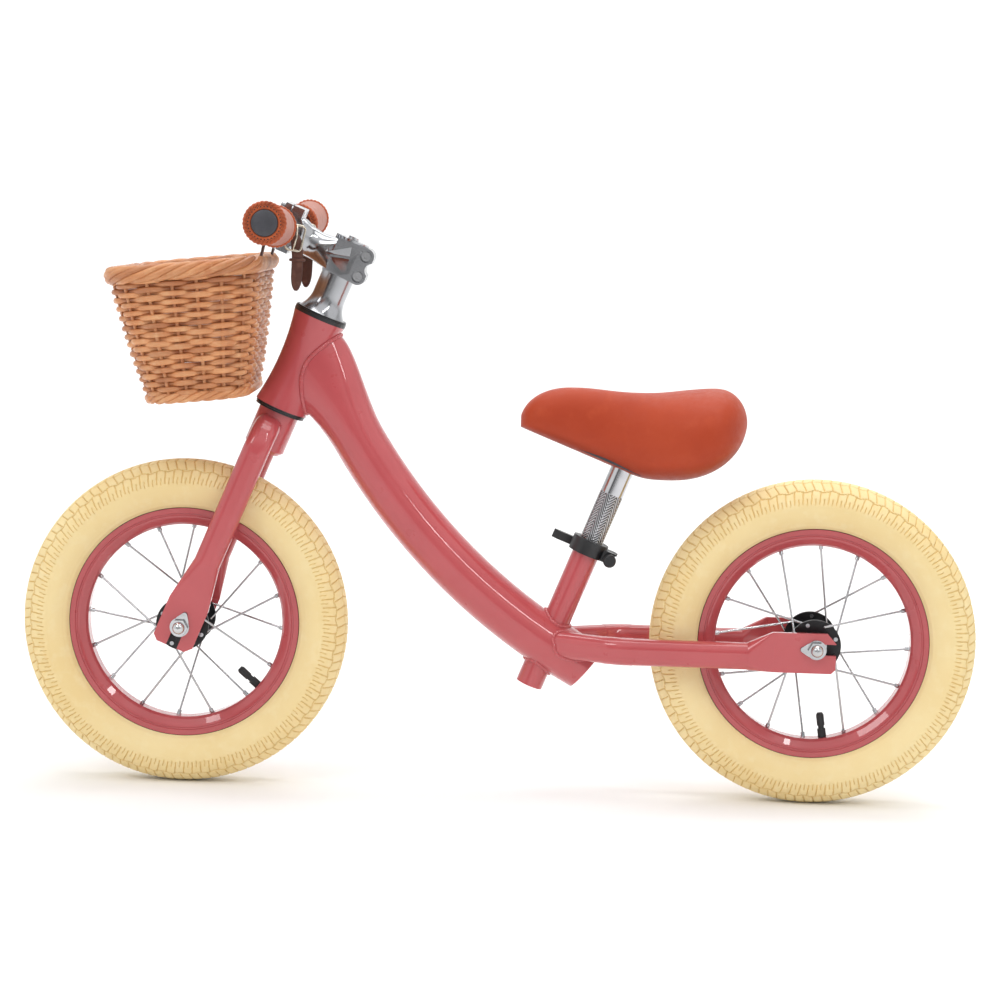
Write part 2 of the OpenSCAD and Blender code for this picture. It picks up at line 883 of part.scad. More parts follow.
// Local z runs outwards along the bar from its bend
module at_bar_end() {
    at_bar() translate([0, bar_bend_y, 0]) rotate([bar_upsweep - 90, 0, 0]) children();
}

// One half of the bar as a solid rod, whose two straights end inside the knuckle of the bend
module bar_rod(r, extra) {
    at_bar() rotate([-90, 0, 0]) translate([0, 0, -1]) cylinder(r = r, h = bar_bend_y);
    at_bar_end() {
        sphere(r = r + knuckle);
        translate([0, 0, 1]) cylinder(r = r, h = bar_leg - 1 + extra);
    }
}

module handlebar() {
    color("#c4c6c8")
        difference() {
            union() {
                both_sides() bar_rod(bar_r, 0);
                at_bar()
                    rotate([90, 0, 0]) {
                        cylinder(r = bar_clamp_r, h = 2 * bar_centre_half, center = true);
                        both_faces()
                            translate([0, 0, bar_centre_half])
                                cylinder(r1 = bar_clamp_r, r2 = bar_r, h = bar_taper);
                    }
            }
            both_sides() bar_rod(bar_r - bar_wall, 1);
        }
}

module right_grip() {
    color("#b87a68")
        at_bar_end()
            translate([0, 0, bar_leg - grip_l + braid_w]) tube(grip_d / 2, bar_r, grip_l - 2 * braid_w);
}

module left_grip() {
    mirror([0, 1, 0]) right_grip();
}

module grip_braids() {
    color("#b4552d")
        both_sides()
            at_bar_end()
                for (low = [bar_leg - grip_l, bar_leg - braid_w])
                    translate([0, 0, low])
                        rotate_extrude()
                            difference() {
                                union() {
                                    translate([bar_r, 0]) square([braid_d / 2 - bar_r - 3, braid_w]);
                                    translate([braid_d / 2 - 3, braid_w / 2]) circle(r = 3);
                                }
                                translate([0, -20]) square([bar_r, 60]);
                                translate([0, braid_w]) square([60, 20]);
                                translate([0, -20]) square([60, 20]);
                            }
}

module grip_end_caps() {
    color("#3c3c40")
        both_sides()
            at_bar_end()
                translate([0, 0, bar_leg]) {
                    cylinder(r = bar_r + 0.4, h = cap_t - 0.1);
                    translate([0, 0, -14]) cylinder(r = bar_r - bar_wall, h = 15);
                }
}

// ---------------------------------------------------------------- wheels

module tyre() {
    bead_y = rim_half - flange_lip - snug;
    rotate_extrude($fn = 180, convexity = 6)
        difference() {
            union() {
                intersection() {
                    translate([ring_r, 0]) circle(r = section_r);
                    translate([rim_top_r + snug, -60]) square([100, 120]);
                }
                translate([bead_seat_r + snug, -bead_y]) square([7, 2 * bead_y]);
            }
            translate([ring_r, 0]) circle(r = section_r - tyre_wall);
            square([2 * ring_r, 2 * bead_y - 9], center = true);
            for (side = [-1, 1])
                translate([wheel_r, side * 4]) circle(r = 1);
        }
}

module inner_tube() {
    rotate_extrude($fn = 180, convexity = 6)
        translate([ring_r, 0])
            difference() {
                circle(r = section_r - tyre_wall - tube_fit);
                circle(r = section_r - tyre_wall - tube_fit - tube_wall);
            }
}

// A spoke's frame: local z runs along the spoke, from the hub to the rim
module at_spoke(i, start_turn) {
    quarter = i % 4;
    near = quarter % 2 == 0 ? 1 : -1;
    lean = quarter < 2 ? spoke_lean : -spoke_lean;
    rim_turn = start_turn + i * 360 / spoke_count;
    hub_z = quarter < 2 ? flange_out + spoke_r + 2.4 : flange_y - flange_t / 2 - spoke_r - snug;
    hub_pt = [hole_circle_r * cos(rim_turn + lean), hole_circle_r * sin(rim_turn + lean), near * hub_z];
    rim_pt = [well_r * cos(rim_turn), well_r * sin(rim_turn), near * 1.5];
    run = rim_pt - hub_pt;
    translate(rim_pt)
        rotate([0, acos(run[2] / norm(run)), atan2(run[1], run[0])])
            children();
}

function spoke_run(outside) =
    let(hub_z = outside ? flange_out + spoke_r + 2.4 : flange_y - flange_t / 2 - spoke_r - snug,
        flat = well_r * well_r + hole_circle_r * hole_circle_r
             - 2 * well_r * hole_circle_r * cos(spoke_lean))
    sqrt(flat + (hub_z - 1.5) * (hub_z - 1.5));

module at_spoke_holes(start_turn) {
    for (i = [0:spoke_count - 1]) {
        near = i % 2 == 0 ? 1 : -1;
        lean = i % 4 < 2 ? spoke_lean : -spoke_lean;
        mirror([0, 0, near > 0 ? 0 : 1])
            rotate([0, 0, start_turn + i * 360 / spoke_count + lean])
                translate([hole_circle_r, 0, 0]) {
                    $outside = i % 4 < 2;
                    children();
                }
    }
}

// Elbow of a spoke: a short stub through the flange with its head beyond
module spoke_elbow() {
    low = $outside ? flange_y - flange_t / 2 - 1 : flange_y - flange_t / 2 - spoke_r - snug;
    high = $outside ? flange_out + spoke_r + 2.4 : flange_out + 1;
    translate([0, 0, low]) cylinder(r = spoke_r, h = high - low, $fn = 24);
    translate([0, 0, $outside ? high : low]) sphere(r = spoke_r + 0.15, $fn = 24);
    translate([0, 0, $outside ? low - 0.2 : high - 0.6]) cylinder(r = spoke_r + 0.9, h = 0.8, $fn = 24);
}

module spokes(start_turn) {
    for (i = [0:spoke_count - 1])
        at_spoke(i, start_turn)
            translate([0, 0, -spoke_run(i % 4 < 2)])
                cylinder(r = spoke_r, h = spoke_run(i % 4 < 2) - 4.5, $fn = 24);
    at_spoke_holes(start_turn) spoke_elbow();
}

module nipples(start_turn) {
    for (i = [0:spoke_count - 1])
        at_spoke(i, start_turn)
            difference() {
                union() {
                    translate([0, 0, -nipple_len - 2]) cylinder(r = nipple_r, h = nipple_len, $fn = 24);
                    translate([0, 0, -2]) cylinder(r = nipple_head_r, h = 2, $fn = 24);
                }
                translate([0, 0, -nipple_len - 3])
                    cylinder(r = spoke_r + 0.02, h = nipple_len - 1, $fn = 24);
            }
}

module rim(start_turn, valve_turn) {
    lip_y = rim_half - flange_lip;
    difference() {
        rotate_extrude($fn = 180, convexity = 6)
            polygon([[rim_in_r, -7], [rim_in_r + 2, -10.5], [rim_top_r - 9, -rim_half + 1.2],
                     [rim_top_r - 7, -rim_half + 0.4], [rim_top_r - 6.4, -rim_half + 1],
                     [rim_top_r - 5.2, -rim_half + 1], [rim_top_r - 4.6, -rim_half],
                     [rim_top_r, -rim_half], [rim_top_r, -lip_y],
                     [bead_seat_r, -lip_y], [bead_seat_r, -7.4], [well_r, -6],
                     [well_r, 6], [bead_seat_r, 7.4], [bead_seat_r, lip_y],
                     [rim_top_r, lip_y], [rim_top_r, rim_half], [rim_top_r - 4.6, rim_half],
                     [rim_top_r - 5.2, rim_half - 1], [rim_top_r - 6.4, rim_half - 1],
                     [rim_top_r - 7, rim_half - 0.4], [rim_top_r - 9, rim_half - 1.2],
                     [rim_in_r + 2, 10.5], [rim_in_r, 7]]);
        for (i = [0:spoke_count - 1])
            at_spoke(i, start_turn) {
                translate([0, 0, -20]) cylinder(r = nipple_r + snug, h = 40, $fn = 24);
                translate([0, 0, -2.1]) cylinder(r = nipple_head_r + snug, h = 20, $fn = 24);
            }
        rotate([0, 0, valve_turn])
            rotate([0, 90, 0]) cylinder(r = valve_r + snug, h = ring_r);
    }
}

module valve(valve_turn) {
    base_r = ring_r - section_r + tyre_wall + tube_fit - snug;
    rotate([0, 0, valve_turn])
        translate([base_r, 0, 0])
            rotate([0, -90, 0]) {
                cylinder(r = valve_r, h = base_r - rim_in_r + 8);
                cylinder(r = thread_r, h = valve_len + 2);
                translate([0, 0, valve_len - cap_len + 4]) cylinder(r = 3.6, h = cap_len - 2);
                translate([0, 0, valve_len + 2]) cylinder(r1 = 3.6, r2 = 2.4, h = 2);
            }
}

module hub_shell(start_turn) {
    difference() {
        rotate_extrude(convexity = 6)
            polygon([[hub_bearing_d / 2 - 4, -hub_half], [barrel_r, -hub_half], [barrel_r, -flange_out],
                     [flange_r - 0.6, -flange_out], [flange_r, -flange_out + 0.6],
                     [flange_r, -flange_out + flange_t - 0.6],
                     [flange_r - 0.6, -flange_out + flange_t], [barrel_r + 1, -flange_out + flange_t],
                     [barrel_r - 1, -flange_out + flange_t + 5], [barrel_r - 1, flange_out - flange_t - 5],
                     [barrel_r + 1, flange_out - flange_t], [flange_r - 0.6, flange_out - flange_t],
                     [flange_r, flange_out - flange_t + 0.6], [flange_r, flange_out - 0.6],
                     [flange_r - 0.6, flange_out], [barrel_r, flange_out], [barrel_r, hub_half],
                     [hub_bearing_d / 2 - 4, hub_half]]);
        both_faces()
            translate([0, 0, hub_half - bearing_w]) cylinder(r = hub_bearing_d / 2, h = 20);
        at_spoke_holes(start_turn) cylinder(r = spoke_r + 0.3, h = 60, $fn = 24);
    }
}

module hub_bearings() {
    both_faces()
        translate([0, 0, hub_half - bearing_w])
            tube(hub_bearing_d / 2, axle_d / 2 + running_gap, bearing_w);
}

module front_tyre() {
    color("#f0d9a0") at_wheel(front_x) tyre();
}

module rear_tyre() {
    color("#f0d9a0") at_wheel(rear_x) tyre();
}

module front_inner_tube() {
    color("#2a2a2a") at_wheel(front_x) inner_tube();
}

module rear_inner_tube() {
    color("#2a2a2a") at_wheel(rear_x) inner_tube();
}

module front_rim() {
    color("#c6606a") at_wheel(front_x) rim(front_spoke_turn, front_valve_turn);
}

module rear_rim() {
    color("#c6606a") at_wheel(rear_x) rim(rear_spoke_turn, rear_valve_turn);
}

module front_hub_shell() {
    color("#1e1e20") at_wheel(front_x) hub_shell(front_spoke_turn);
}

module rear_hub_shell() {
    color("#1e1e20") at_wheel(rear_x) hub_shell(rear_spoke_turn);
}

module front_hub_bearings() {
    color("silver") at_wheel(front_x) hub_bearings();
}

module rear_hub_bearings() {
    color("silver") at_wheel(rear_x) hub_bearings();
}

module front_spokes() {
    color("silver") at_wheel(front_x) spokes(front_spoke_turn);
}

module rear_spokes() {
    color("silver") at_wheel(rear_x) spokes(rear_spoke_turn);
}

module front_nipples() {
    color("silver") at_wheel(front_x) nipples(front_spoke_turn);
}

module rear_nipples() {
    color("silver") at_wheel(rear_x) nipples(rear_spoke_turn);
}

module front_valve() {
    color("#202020") at_wheel(front_x) valve(front_valve_turn);
}

module rear_valve() {
    color("#202020") at_wheel(rear_x) valve(rear_valve_turn);
}

// ---------------------------------------------------------------- saddle

// Local x is forward to back from the post's axis, z is up from the plate
module at_saddle() {
    translate([seat_x + saddle_t * sin(seat_angle), 0, wheel_r + saddle_t * cos(seat_angle)])
        children();
}

nose_x = -0.456 * saddle_l;
tail_x = nose_x + saddle_l;
saddle_rings = 30;
ring_points = 28;

function ramp(x, a, b) = let(t = min(1, max(0, (x - a) / (b - a)))) t * t * (3 - 2 * t);

function arch(x, start, reach) = sqrt(max(0, 1 - pow(max(0, (x - start) / reach), 2)));

function saddle_top(x) =
    let(back = tail_x - 26, front = -nose_x - 45)
    x < -front ? 43 + 32.5 * arch(-x, front, 45.6)
  : x > back ? 48 + 30.5 * arch(x, back, 26.2)
  : 75.5 - 3.2 * (ramp(x, -40, 5) - ramp(x, 25, 60)) + 3 * ramp(x, 45, back);

function saddle_low(x) =
    let(back = tail_x - 69)
    x > back ? 48 - 55.5 * arch(x, back, 69.2)
  : max(-7.5, -x * tan(seat_angle));

function saddle_half(x) =
    let(back = tail_x - 36, front = -nose_x - 22)
    (x < -front ? 23 * arch(-x, front, 22.4) : x > back ? saddle_w / 2 * arch(x, back, 36.4)
  : 23 + (saddle_w / 2 - 23) * ramp(x, -25, back));

function signed_pow(v, p) = sign(v) * pow(abs(v), p);

function saddle_point(x, turn) =
    let(top = saddle_top(x), low = saddle_low(x), mid = low + 0.45 * (top - low),
        up = sin(turn), out = cos(turn))
    [x, saddle_half(x) * signed_pow(out, 0.8),
     mid + (up > 0 ? (top - mid) : (mid - low)) * signed_pow(up, 0.85)];

function ring_x(i) =
    let(t = i / (saddle_rings - 1)) (nose_x + tail_x) / 2 - (saddle_l / 2 - 0.3) * cos(180 * t);

module saddle_form() {
    points = [for (i = [0:saddle_rings - 1]) for (j = [0:ring_points - 1])
        saddle_point(ring_x(i), 360 * (j + 0.5) / ring_points)];
    sides = [for (i = [0:saddle_rings - 2]) for (j = [0:ring_points - 1])
        let(k = (j + 1) % ring_points, a = i * ring_points, b = a + ring_points)
        each [[a + j, a + k, b + k], [a + j, b + k, b + j]]];
    nose = [[for (j = [ring_points - 1:-1:0]) j]];
    tail = [[for (j = [0:ring_points - 1]) (saddle_rings - 1) * ring_points + j]];
    polyhedron(points = points, faces = concat(sides, nose, tail), convexity = 6);
}

module base_outline(grow) {
    polygon([[-58 - grow, -14 - grow], [-58 - grow, 14 + grow], [6, 21 + grow], [18 + grow, 21 + grow],
             [18 + grow, -21 - grow], [6, -21 - grow]]);
}

module saddle_pad() {
    color("#b4521f")
        difference() {
            at_saddle() saddle_form();
            at_seat_axis() {
                translate([0, 0, base_s - 23])
                    linear_extrude(23 + base_t + pocket_gap) base_outline(pocket_gap);
                translate([0, 0, base_s - 23]) cylinder(r = clamp_pocket_r, h = 23 + clamp_h + 8);
            }
        }
}

module saddle_base() {
    color("#2a2a2c")
        at_seat_axis()
            difference() {
                translate([0, 0, base_s]) linear_extrude(base_t) base_outline(0);
                cylinder(r = post_r + 0.4, h = 400);
            }
}

module saddle_clamp() {
    color("#5a5a5e")
        at_seat_axis()
            translate([0, 0, base_s + base_t])
                difference() {
                    union() {
                        cylinder(r = post_r + 3.2, h = clamp_h);
                        translate([post_r, -6, 0]) cube([9.5, 12, clamp_h]);
                    }
                    translate([0, 0, -1]) cylinder(r = post_r, h = clamp_h + 2);
                    translate([0, -1, -1]) cube([30, 2, clamp_h + 2]);
                    translate([clamp_bolt_off, 0, clamp_h / 2])
                        rotate([90, 0, 0]) cylinder(r = clamp_bolt_r, h = 40, center = true);
                }
}

module saddle_clamp_bolt() {
    color("silver")
        at_seat_axis()
            translate([clamp_bolt_off, -6, base_s + base_t + clamp_h / 2])
                rotate([-90, 0, 0]) {
                    cylinder(r = clamp_bolt_r, h = 13);
                    translate([0, 0, -3]) cylinder(r = 3, h = 3);
                }
}

module seat_post() {
    color("#c8cace")
        at_seat_axis()
            translate([0, 0, post_top - post_l]) tube(post_r, post_r - 1.8, post_l);
}

// ---------------------------------------------------------------- basket

function bar_x() = steer_x + bar_off * cos(head_angle) + bar_s * sin(head_angle);
function bar_z() = steer_z - bar_off * sin(head_angle) + bar_s * cos(head_angle);

// Local origin is the middle of the base, and z follows the basket's tilt
module at_basket() {
    translate([bar_x(), 0, bar_z()])
        rotate([0, -basket_tilt, 0])
            translate([-basket_d / 2 - basket_reach, 0, -basket_h - basket_hang])
                children();
}

module basket_plan(d, w, r) {
    hull()
        for (x = [-1, 1])
            for (y = [-1, 1])
                translate([x * (d / 2 - r), y * (w / 2 - r)]) circle(r = r, $fn = 40);
}

module basket_form(inset, low, high) {
    base_w = basket_w - (basket_d - basket_base_d);
    lean_t = (high - low) / basket_h;
    hull() {
        translate([0, 0, low])
            linear_extrude(0.1)
                basket_plan(basket_base_d - 2 * inset, base_w - 2 * inset, basket_r - inset);
        translate([0, 0, high - 0.1])
            linear_extrude(0.1)
                basket_plan(basket_base_d + (basket_d - 6 - basket_base_d) * lean_t - 2 * inset,
                            base_w + (basket_w - 6 - base_w) * lean_t - 2 * inset, basket_r - inset);
    }
}

module basket_body() {
    color("#c98f52")
        difference() {
            at_basket()
                difference() {
                    union() {
                        basket_form(0, 0, basket_h);
                        translate([0, 0, basket_h - 2 * rope_r])
                            linear_extrude(2 * rope_r) basket_plan(basket_d, basket_w, basket_r);
                    }
                    basket_form(wicker_t, wicker_t, basket_h + 5);
                }
            both_sides() strap_band(snug);
        }
}

// Strap: a loop round the bar, and a band down to a slot in the basket's back
module strap_band(grow) {
    drop = 34;
    translate([bar_x(), strap_y, bar_z()])
        rotate([90, 0, 0])
            linear_extrude(strap_w + 2 * grow, center = true) {
                difference() {
                    circle(r = strap_r + strap_t + grow);
                    circle(r = strap_r - grow);
                }
                translate([-strap_r - strap_t - grow, -drop]) square([strap_t + 2 * grow, drop]);
                translate([-strap_r - 10 - grow, -drop - grow]) square([10 + grow, strap_t + 2 * grow]);
            }
}

module strap_tail() {
    translate([bar_x() + strap_r + strap_t - tail_bite, strap_y - (strap_w - 2) / 2, bar_z() - tail_drop])
        cube([strap_t, strap_w - 2, tail_drop + 2]);
}

module basket_straps() {
    color("#5a3024")
        both_sides() {
            strap_band(0);
            strap_tail();
        }
}

module basket_buckles() {
    color("#c8bfa8")
        both_sides()
            translate([bar_x() + strap_r + 2 * strap_t + buckle_r + snug, strap_y, bar_z()])
                for (side = [-1, 1]) {
                    translate([0, side * (strap_w / 2 + buckle_r), -8]) cylinder(r = buckle_r, h = 16);
                    translate([0, 0, side * 8])
                        rotate([90, 0, 0])
                            cylinder(r = buckle_r, h = strap_w + 4 * buckle_r, center = true);
                }
}

main_tube();
head_tube();
seat_tube();
left_chainstay();
right_chainstay();
headset_cups();
headset_bearings();
seat_clamp_collar();
seat_clamp_skewer();
seat_clamp_nut();
rear_axle();
rear_cones();
rear_axle_nuts();
rear_tab_washers();
steerer_tube();
fork_crown();
left_fork_leg();
right_fork_leg();
crown_race();
headset_top_cover();
riser_sleeve();
stem();
stem_faceplate();
stem_bolts();
top_cap();
top_cap_bolt();
handlebar();
left_grip();
right_grip();
grip_end_caps();
grip_braids();
front_axle();
front_cones();
front_axle_nuts();
front_tab_washers();
front_tyre();
front_inner_tube();
front_rim();
front_hub_shell();
front_hub_bearings();
front_spokes();
front_nipples();
front_valve();
rear_tyre();
rear_inner_tube();
rear_rim();
rear_hub_shell();
rear_hub_bearings();
rear_spokes();
rear_nipples();
rear_valve();
saddle_pad();
saddle_base();
saddle_clamp();
saddle_clamp_bolt();
seat_post();
clamp_lever();
basket_body();
basket_straps();
basket_buckles();
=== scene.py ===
import math

import bmesh
import bpy
import numpy as np
from mathutils import Matrix, Vector


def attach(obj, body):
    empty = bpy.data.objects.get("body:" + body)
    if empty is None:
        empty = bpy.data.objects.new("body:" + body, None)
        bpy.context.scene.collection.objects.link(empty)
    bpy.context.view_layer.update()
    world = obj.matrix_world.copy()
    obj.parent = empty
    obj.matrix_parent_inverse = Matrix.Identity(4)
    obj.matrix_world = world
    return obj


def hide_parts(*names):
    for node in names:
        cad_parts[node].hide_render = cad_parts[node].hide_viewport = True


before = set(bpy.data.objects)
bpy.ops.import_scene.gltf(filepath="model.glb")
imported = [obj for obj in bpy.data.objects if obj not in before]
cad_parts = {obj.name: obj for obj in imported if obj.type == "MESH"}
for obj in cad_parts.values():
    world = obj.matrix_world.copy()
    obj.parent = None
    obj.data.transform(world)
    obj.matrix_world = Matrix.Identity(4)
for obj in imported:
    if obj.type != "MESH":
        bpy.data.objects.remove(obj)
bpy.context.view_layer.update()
RNG = np.random.default_rng(7)
MM = 0.001
TAU = 2 * math.pi

# ------------------------------------------------------------ sizes, in millimetres, as in the CAD
WHEEL_R, SECTION_R, RIM_R, TYRE_WALL = 152.0, 25.0, 107.0, 3.4
RING_R = WHEEL_R - SECTION_R
FRONT_X, REAR_X = -293.0, 293.0
HEAD_ANGLE, SEAT_ANGLE = math.radians(22), math.radians(21.4)
STEER = np.array([-209.018, 0.0, 353.190])
SEAT = np.array([49.550, 0.0, 152.0])
BAR_OFF, BAR_S, BAR_R = -61.5, 157.0, 12.7
HEAD_LOW, HEAD_L, HEAD_R, HEAD_WAIST = 2.0, 90.0, 25.0, 4.4
MAIN_R, MAIN_BEND, MAIN_WALL, MAIN_BORE = 24.15, 568.0, 2.4, 12.2
SEAT_TUBE_R, SEAT_WELD_R, POST_R, POST_WALL = 12.7, 13.4, 11.1, 1.8
STAY_R, STAY_BEND, STAY_TURN = 9.2, 60.0, math.radians(26)
STAY_X, STAY_Y, STAY_Z = REAR_X - 168, 42.0, 143.0
BAR_BEND_Y, BAR_UPSWEEP, BAR_LEG = 60.0, math.radians(2.4), 146.63
GRIP_L, GRIP_R, GRIP_BORE = 105.0, 16.9, 11.15
SADDLE_T, SADDLE_L, SADDLE_W = 166.0, 209.0, 124.0
STEERER_R, RISER_TOP, STEM_TOP = 12.7, 134.5, 169.0
CLAMP_R, CLAMP_HALF, PLATE_HALF = 17.3, 21.0, 16.5
BOLT_RISE, BOLT_OUT, BOLT_R = 17.7, 14.0, 2.55
BASKET_H, BASE_D, RIM_D, BASE_W, RIM_W, PLAN_R = 126.0, 90.0, 137.0, 157.0, 204.0, 34.0
STAKES = 26
BASKET_SHIFT, BASKET_LEAN = np.array([-89.5, 0, -148]), math.radians(6.5)
STRAP_Y, STRAP_W, STRAP_TAIL = 46.0, 12.0, 57.0


def lean(angle):
    """The turn about y that tips a vertical axis back by angle."""
    c, s = math.cos(angle), math.sin(angle)
    return np.array([[c, 0, s], [0, 1, 0], [-s, 0, c]])


def frame_of(origin, angle):
    """Turns local (off, y, s) points, s along a leaning axis, into the row frame."""
    return lambda p: np.asarray(p, float) @ lean(angle).T + origin


steer = frame_of(STEER, HEAD_ANGLE)
seat = frame_of(SEAT, SEAT_ANGLE)
BAR = steer([BAR_OFF, 0, BAR_S])
basket_turn = frame_of(BAR, -BASKET_LEAN)


def basket(p):
    return basket_turn(np.asarray(p, float) + BASKET_SHIFT)


def steps_of(count):
    """Angles in equal steps round a circle."""
    return np.arange(count) / count * TAU


def circle(r, s, steps):
    """A ring of radius r about the local axis, at height s."""
    t = steps_of(steps)
    return np.stack([r * np.cos(t), r * np.sin(t), np.full(steps, s)], -1)


# ------------------------------------------------------------ mesh builders
def placed(name, data):
    o = bpy.data.objects.new(name, data)
    bpy.context.scene.collection.objects.link(o)
    return o


def piece(name, me, body, replaces):
    o = placed(name, me)
    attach(o, body)
    if replaces:
        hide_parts(*replaces)
    return o


class Build:
    """Collects vertices and faces of many parts into one mesh."""

    def __init__(self):
        self.v, self.f, self.n, self.tint = [], [], 0, []

    def grid(self, rows, closed_u=False, closed_v=False, caps=False, tint=0.0):
        """rows is U x V x 3, and the grid may close on itself either way."""
        rows = np.asarray(rows, float)
        nu, nv = rows.shape[:2]
        iu = np.arange(nu if closed_u else nu - 1)
        iv = np.arange(nv if closed_v else nv - 1)
        a, b = np.meshgrid(iu, iv, indexing="ij")
        a2, b2 = (a + 1) % nu, (b + 1) % nv
        quads = np.stack([a * nv + b, a2 * nv + b, a2 * nv + b2, a * nv + b2], -1).reshape(-1, 4)
        self.f.extend((quads + self.n).tolist())
        if caps:
            self.f.append([self.n + k for k in range(nv)])
            self.f.append([self.n + (nu - 1) * nv + k for k in range(nv - 1, -1, -1)])
        self.v.append(rows.reshape(-1, 3))
        self.tint.append(np.broadcast_to(np.asarray(tint, float), (nu, nv)).reshape(-1))
        self.n += nu * nv
        return self

    def loft(self, place, rings):
        """A closed block through rings of local points, which place maps to the row frame."""
        return self.grid(place(np.array(rings)), closed_v=True, caps=True)

    def rod(self, path, r, sides=8, closed=False, ref=(0, 0, 1), wide=1.0, tint=0.0):
        """A tube along path with radius r, or one radius for each point. wide flattens it."""
        path = np.asarray(path, float)
        if closed:
            t = np.roll(path, -1, 0) - np.roll(path, 1, 0)
        else:
            t = np.gradient(path, axis=0)
        t /= np.linalg.norm(t, axis=1)[:, None]
        ref = np.broadcast_to(np.asarray(ref, float), path.shape)
        side = np.cross(t, ref)
        side /= np.linalg.norm(side, axis=1)[:, None]
        up = np.cross(side, t)
        a = steps_of(sides)
        r = np.broadcast_to(np.asarray(r, float), (len(path),))
        rows = (path[:, None] + r[:, None, None] * (np.cos(a)[None, :, None] * side[:, None] * wide
                                                    + np.sin(a)[None, :, None] * up[:, None]))
        self.grid(rows[:, ::-1], closed_u=closed, closed_v=True, caps=not closed, tint=tint)

    def revolve(self, place, profile, steps=96):
        """profile is (r, h) points turned about local z, and place maps local points to the row frame."""
        a = steps_of(steps)
        profile = np.asarray(profile, float)
        rows = np.stack([np.outer(np.cos(a), profile[:, 0]), np.outer(np.sin(a), profile[:, 0]),
                         np.tile(profile[:, 1], (steps, 1))], -1)
        self.grid(place(rows), closed_u=True, closed_v=True)

    def ball(self, centre, r, steps=10):
        lat = np.linspace(0.02, math.pi - 0.02, steps)
        lon = steps_of(2 * steps)
        r = np.broadcast_to(np.asarray(r, float), (3,))
        rows = np.stack([np.outer(np.sin(lat), np.cos(lon)), np.outer(np.sin(lat), np.sin(lon)),
                         np.outer(np.cos(lat), np.ones_like(lon))], -1) * r + np.asarray(centre, float)
        self.grid(rows, closed_v=True, caps=True)

    def shift(self, y):
        """Moves a block's two sides to the y range given."""
        v = self.v[0]
        low = v[:, 1] < v[:, 1].mean()
        v[low, 1], v[~low, 1] = y
        return self

    def make(self, name, mat, body, slot, replaces=(), sharp=None):
        v = np.concatenate(self.v) * MM
        me = bpy.data.meshes.new(name)
        me.from_pydata(v.tolist(), [], self.f)
        me.validate()
        tint = me.attributes.new("tint", "FLOAT", "POINT")
        tint.data.foreach_set("value", np.concatenate(self.tint).astype(np.float32))
        me.materials.append(mat)
        me.polygons.foreach_set("use_smooth", np.ones(len(me.polygons), bool))
        if sharp:
            me.set_sharp_from_angle(angle=math.radians(sharp))
        bm = bmesh.new()
        bm.from_mesh(me)
        bmesh.ops.recalc_face_normals(bm, faces=bm.faces)
        bm.to_mesh(me)
        bm.free()
        return piece(name, me, body, replaces)


def carve(name, first, more, cuts, bevel, mat, body, replaces):
    """Joins and cuts solids, then rounds the edges that are left."""
    def plain(b):
        me = bpy.data.meshes.new("cutter")
        me.from_pydata((np.concatenate(b.v) * MM).tolist(), [], b.f)
        bm = bmesh.new()
        bm.from_mesh(me)
        bmesh.ops.remove_doubles(bm, verts=bm.verts, dist=1e-6)
        bmesh.ops.recalc_face_normals(bm, faces=bm.faces)
        bm.to_mesh(me)
        bm.free()
        return placed("cutter", me)

    base = plain(first)
    tools = []
    for b, how in [(m, "UNION") for m in more] + [(c, "DIFFERENCE") for c in cuts]:
        tool = plain(b)
        tools.append(tool)
        mod = base.modifiers.new(how, "BOOLEAN")
        mod.object, mod.operation, mod.solver = tool, how, "EXACT"
    if bevel:
        mod = base.modifiers.new("bevel", "BEVEL")
        mod.width, mod.segments, mod.use_clamp_overlap = bevel * MM, 3, True
        mod.limit_method, mod.angle_limit = "ANGLE", math.radians(32)
    got = base.evaluated_get(bpy.context.evaluated_depsgraph_get())
    me = bpy.data.meshes.new_from_object(got)
    me.name = name
    for o in [base] + tools:
        old = o.data
        bpy.data.objects.remove(o)
        bpy.data.meshes.remove(old)
    me.materials.clear()
    me.materials.append(mat)
    me.polygons.foreach_set("use_smooth", np.ones(len(me.polygons), bool))
    me.set_sharp_from_angle(angle=math.radians(38))
    return piece(name, me, body, replaces)


# ------------------------------------------------------------ materials
def rgb(r, g, b):
    """An sRGB colour from 0 to 255, made linear."""
    def lin(v):
        v /= 255
        return v / 12.92 if v <= 0.04045 else ((v + 0.055) / 1.055) ** 2.4
    return (lin(r), lin(g), lin(b), 1.0)


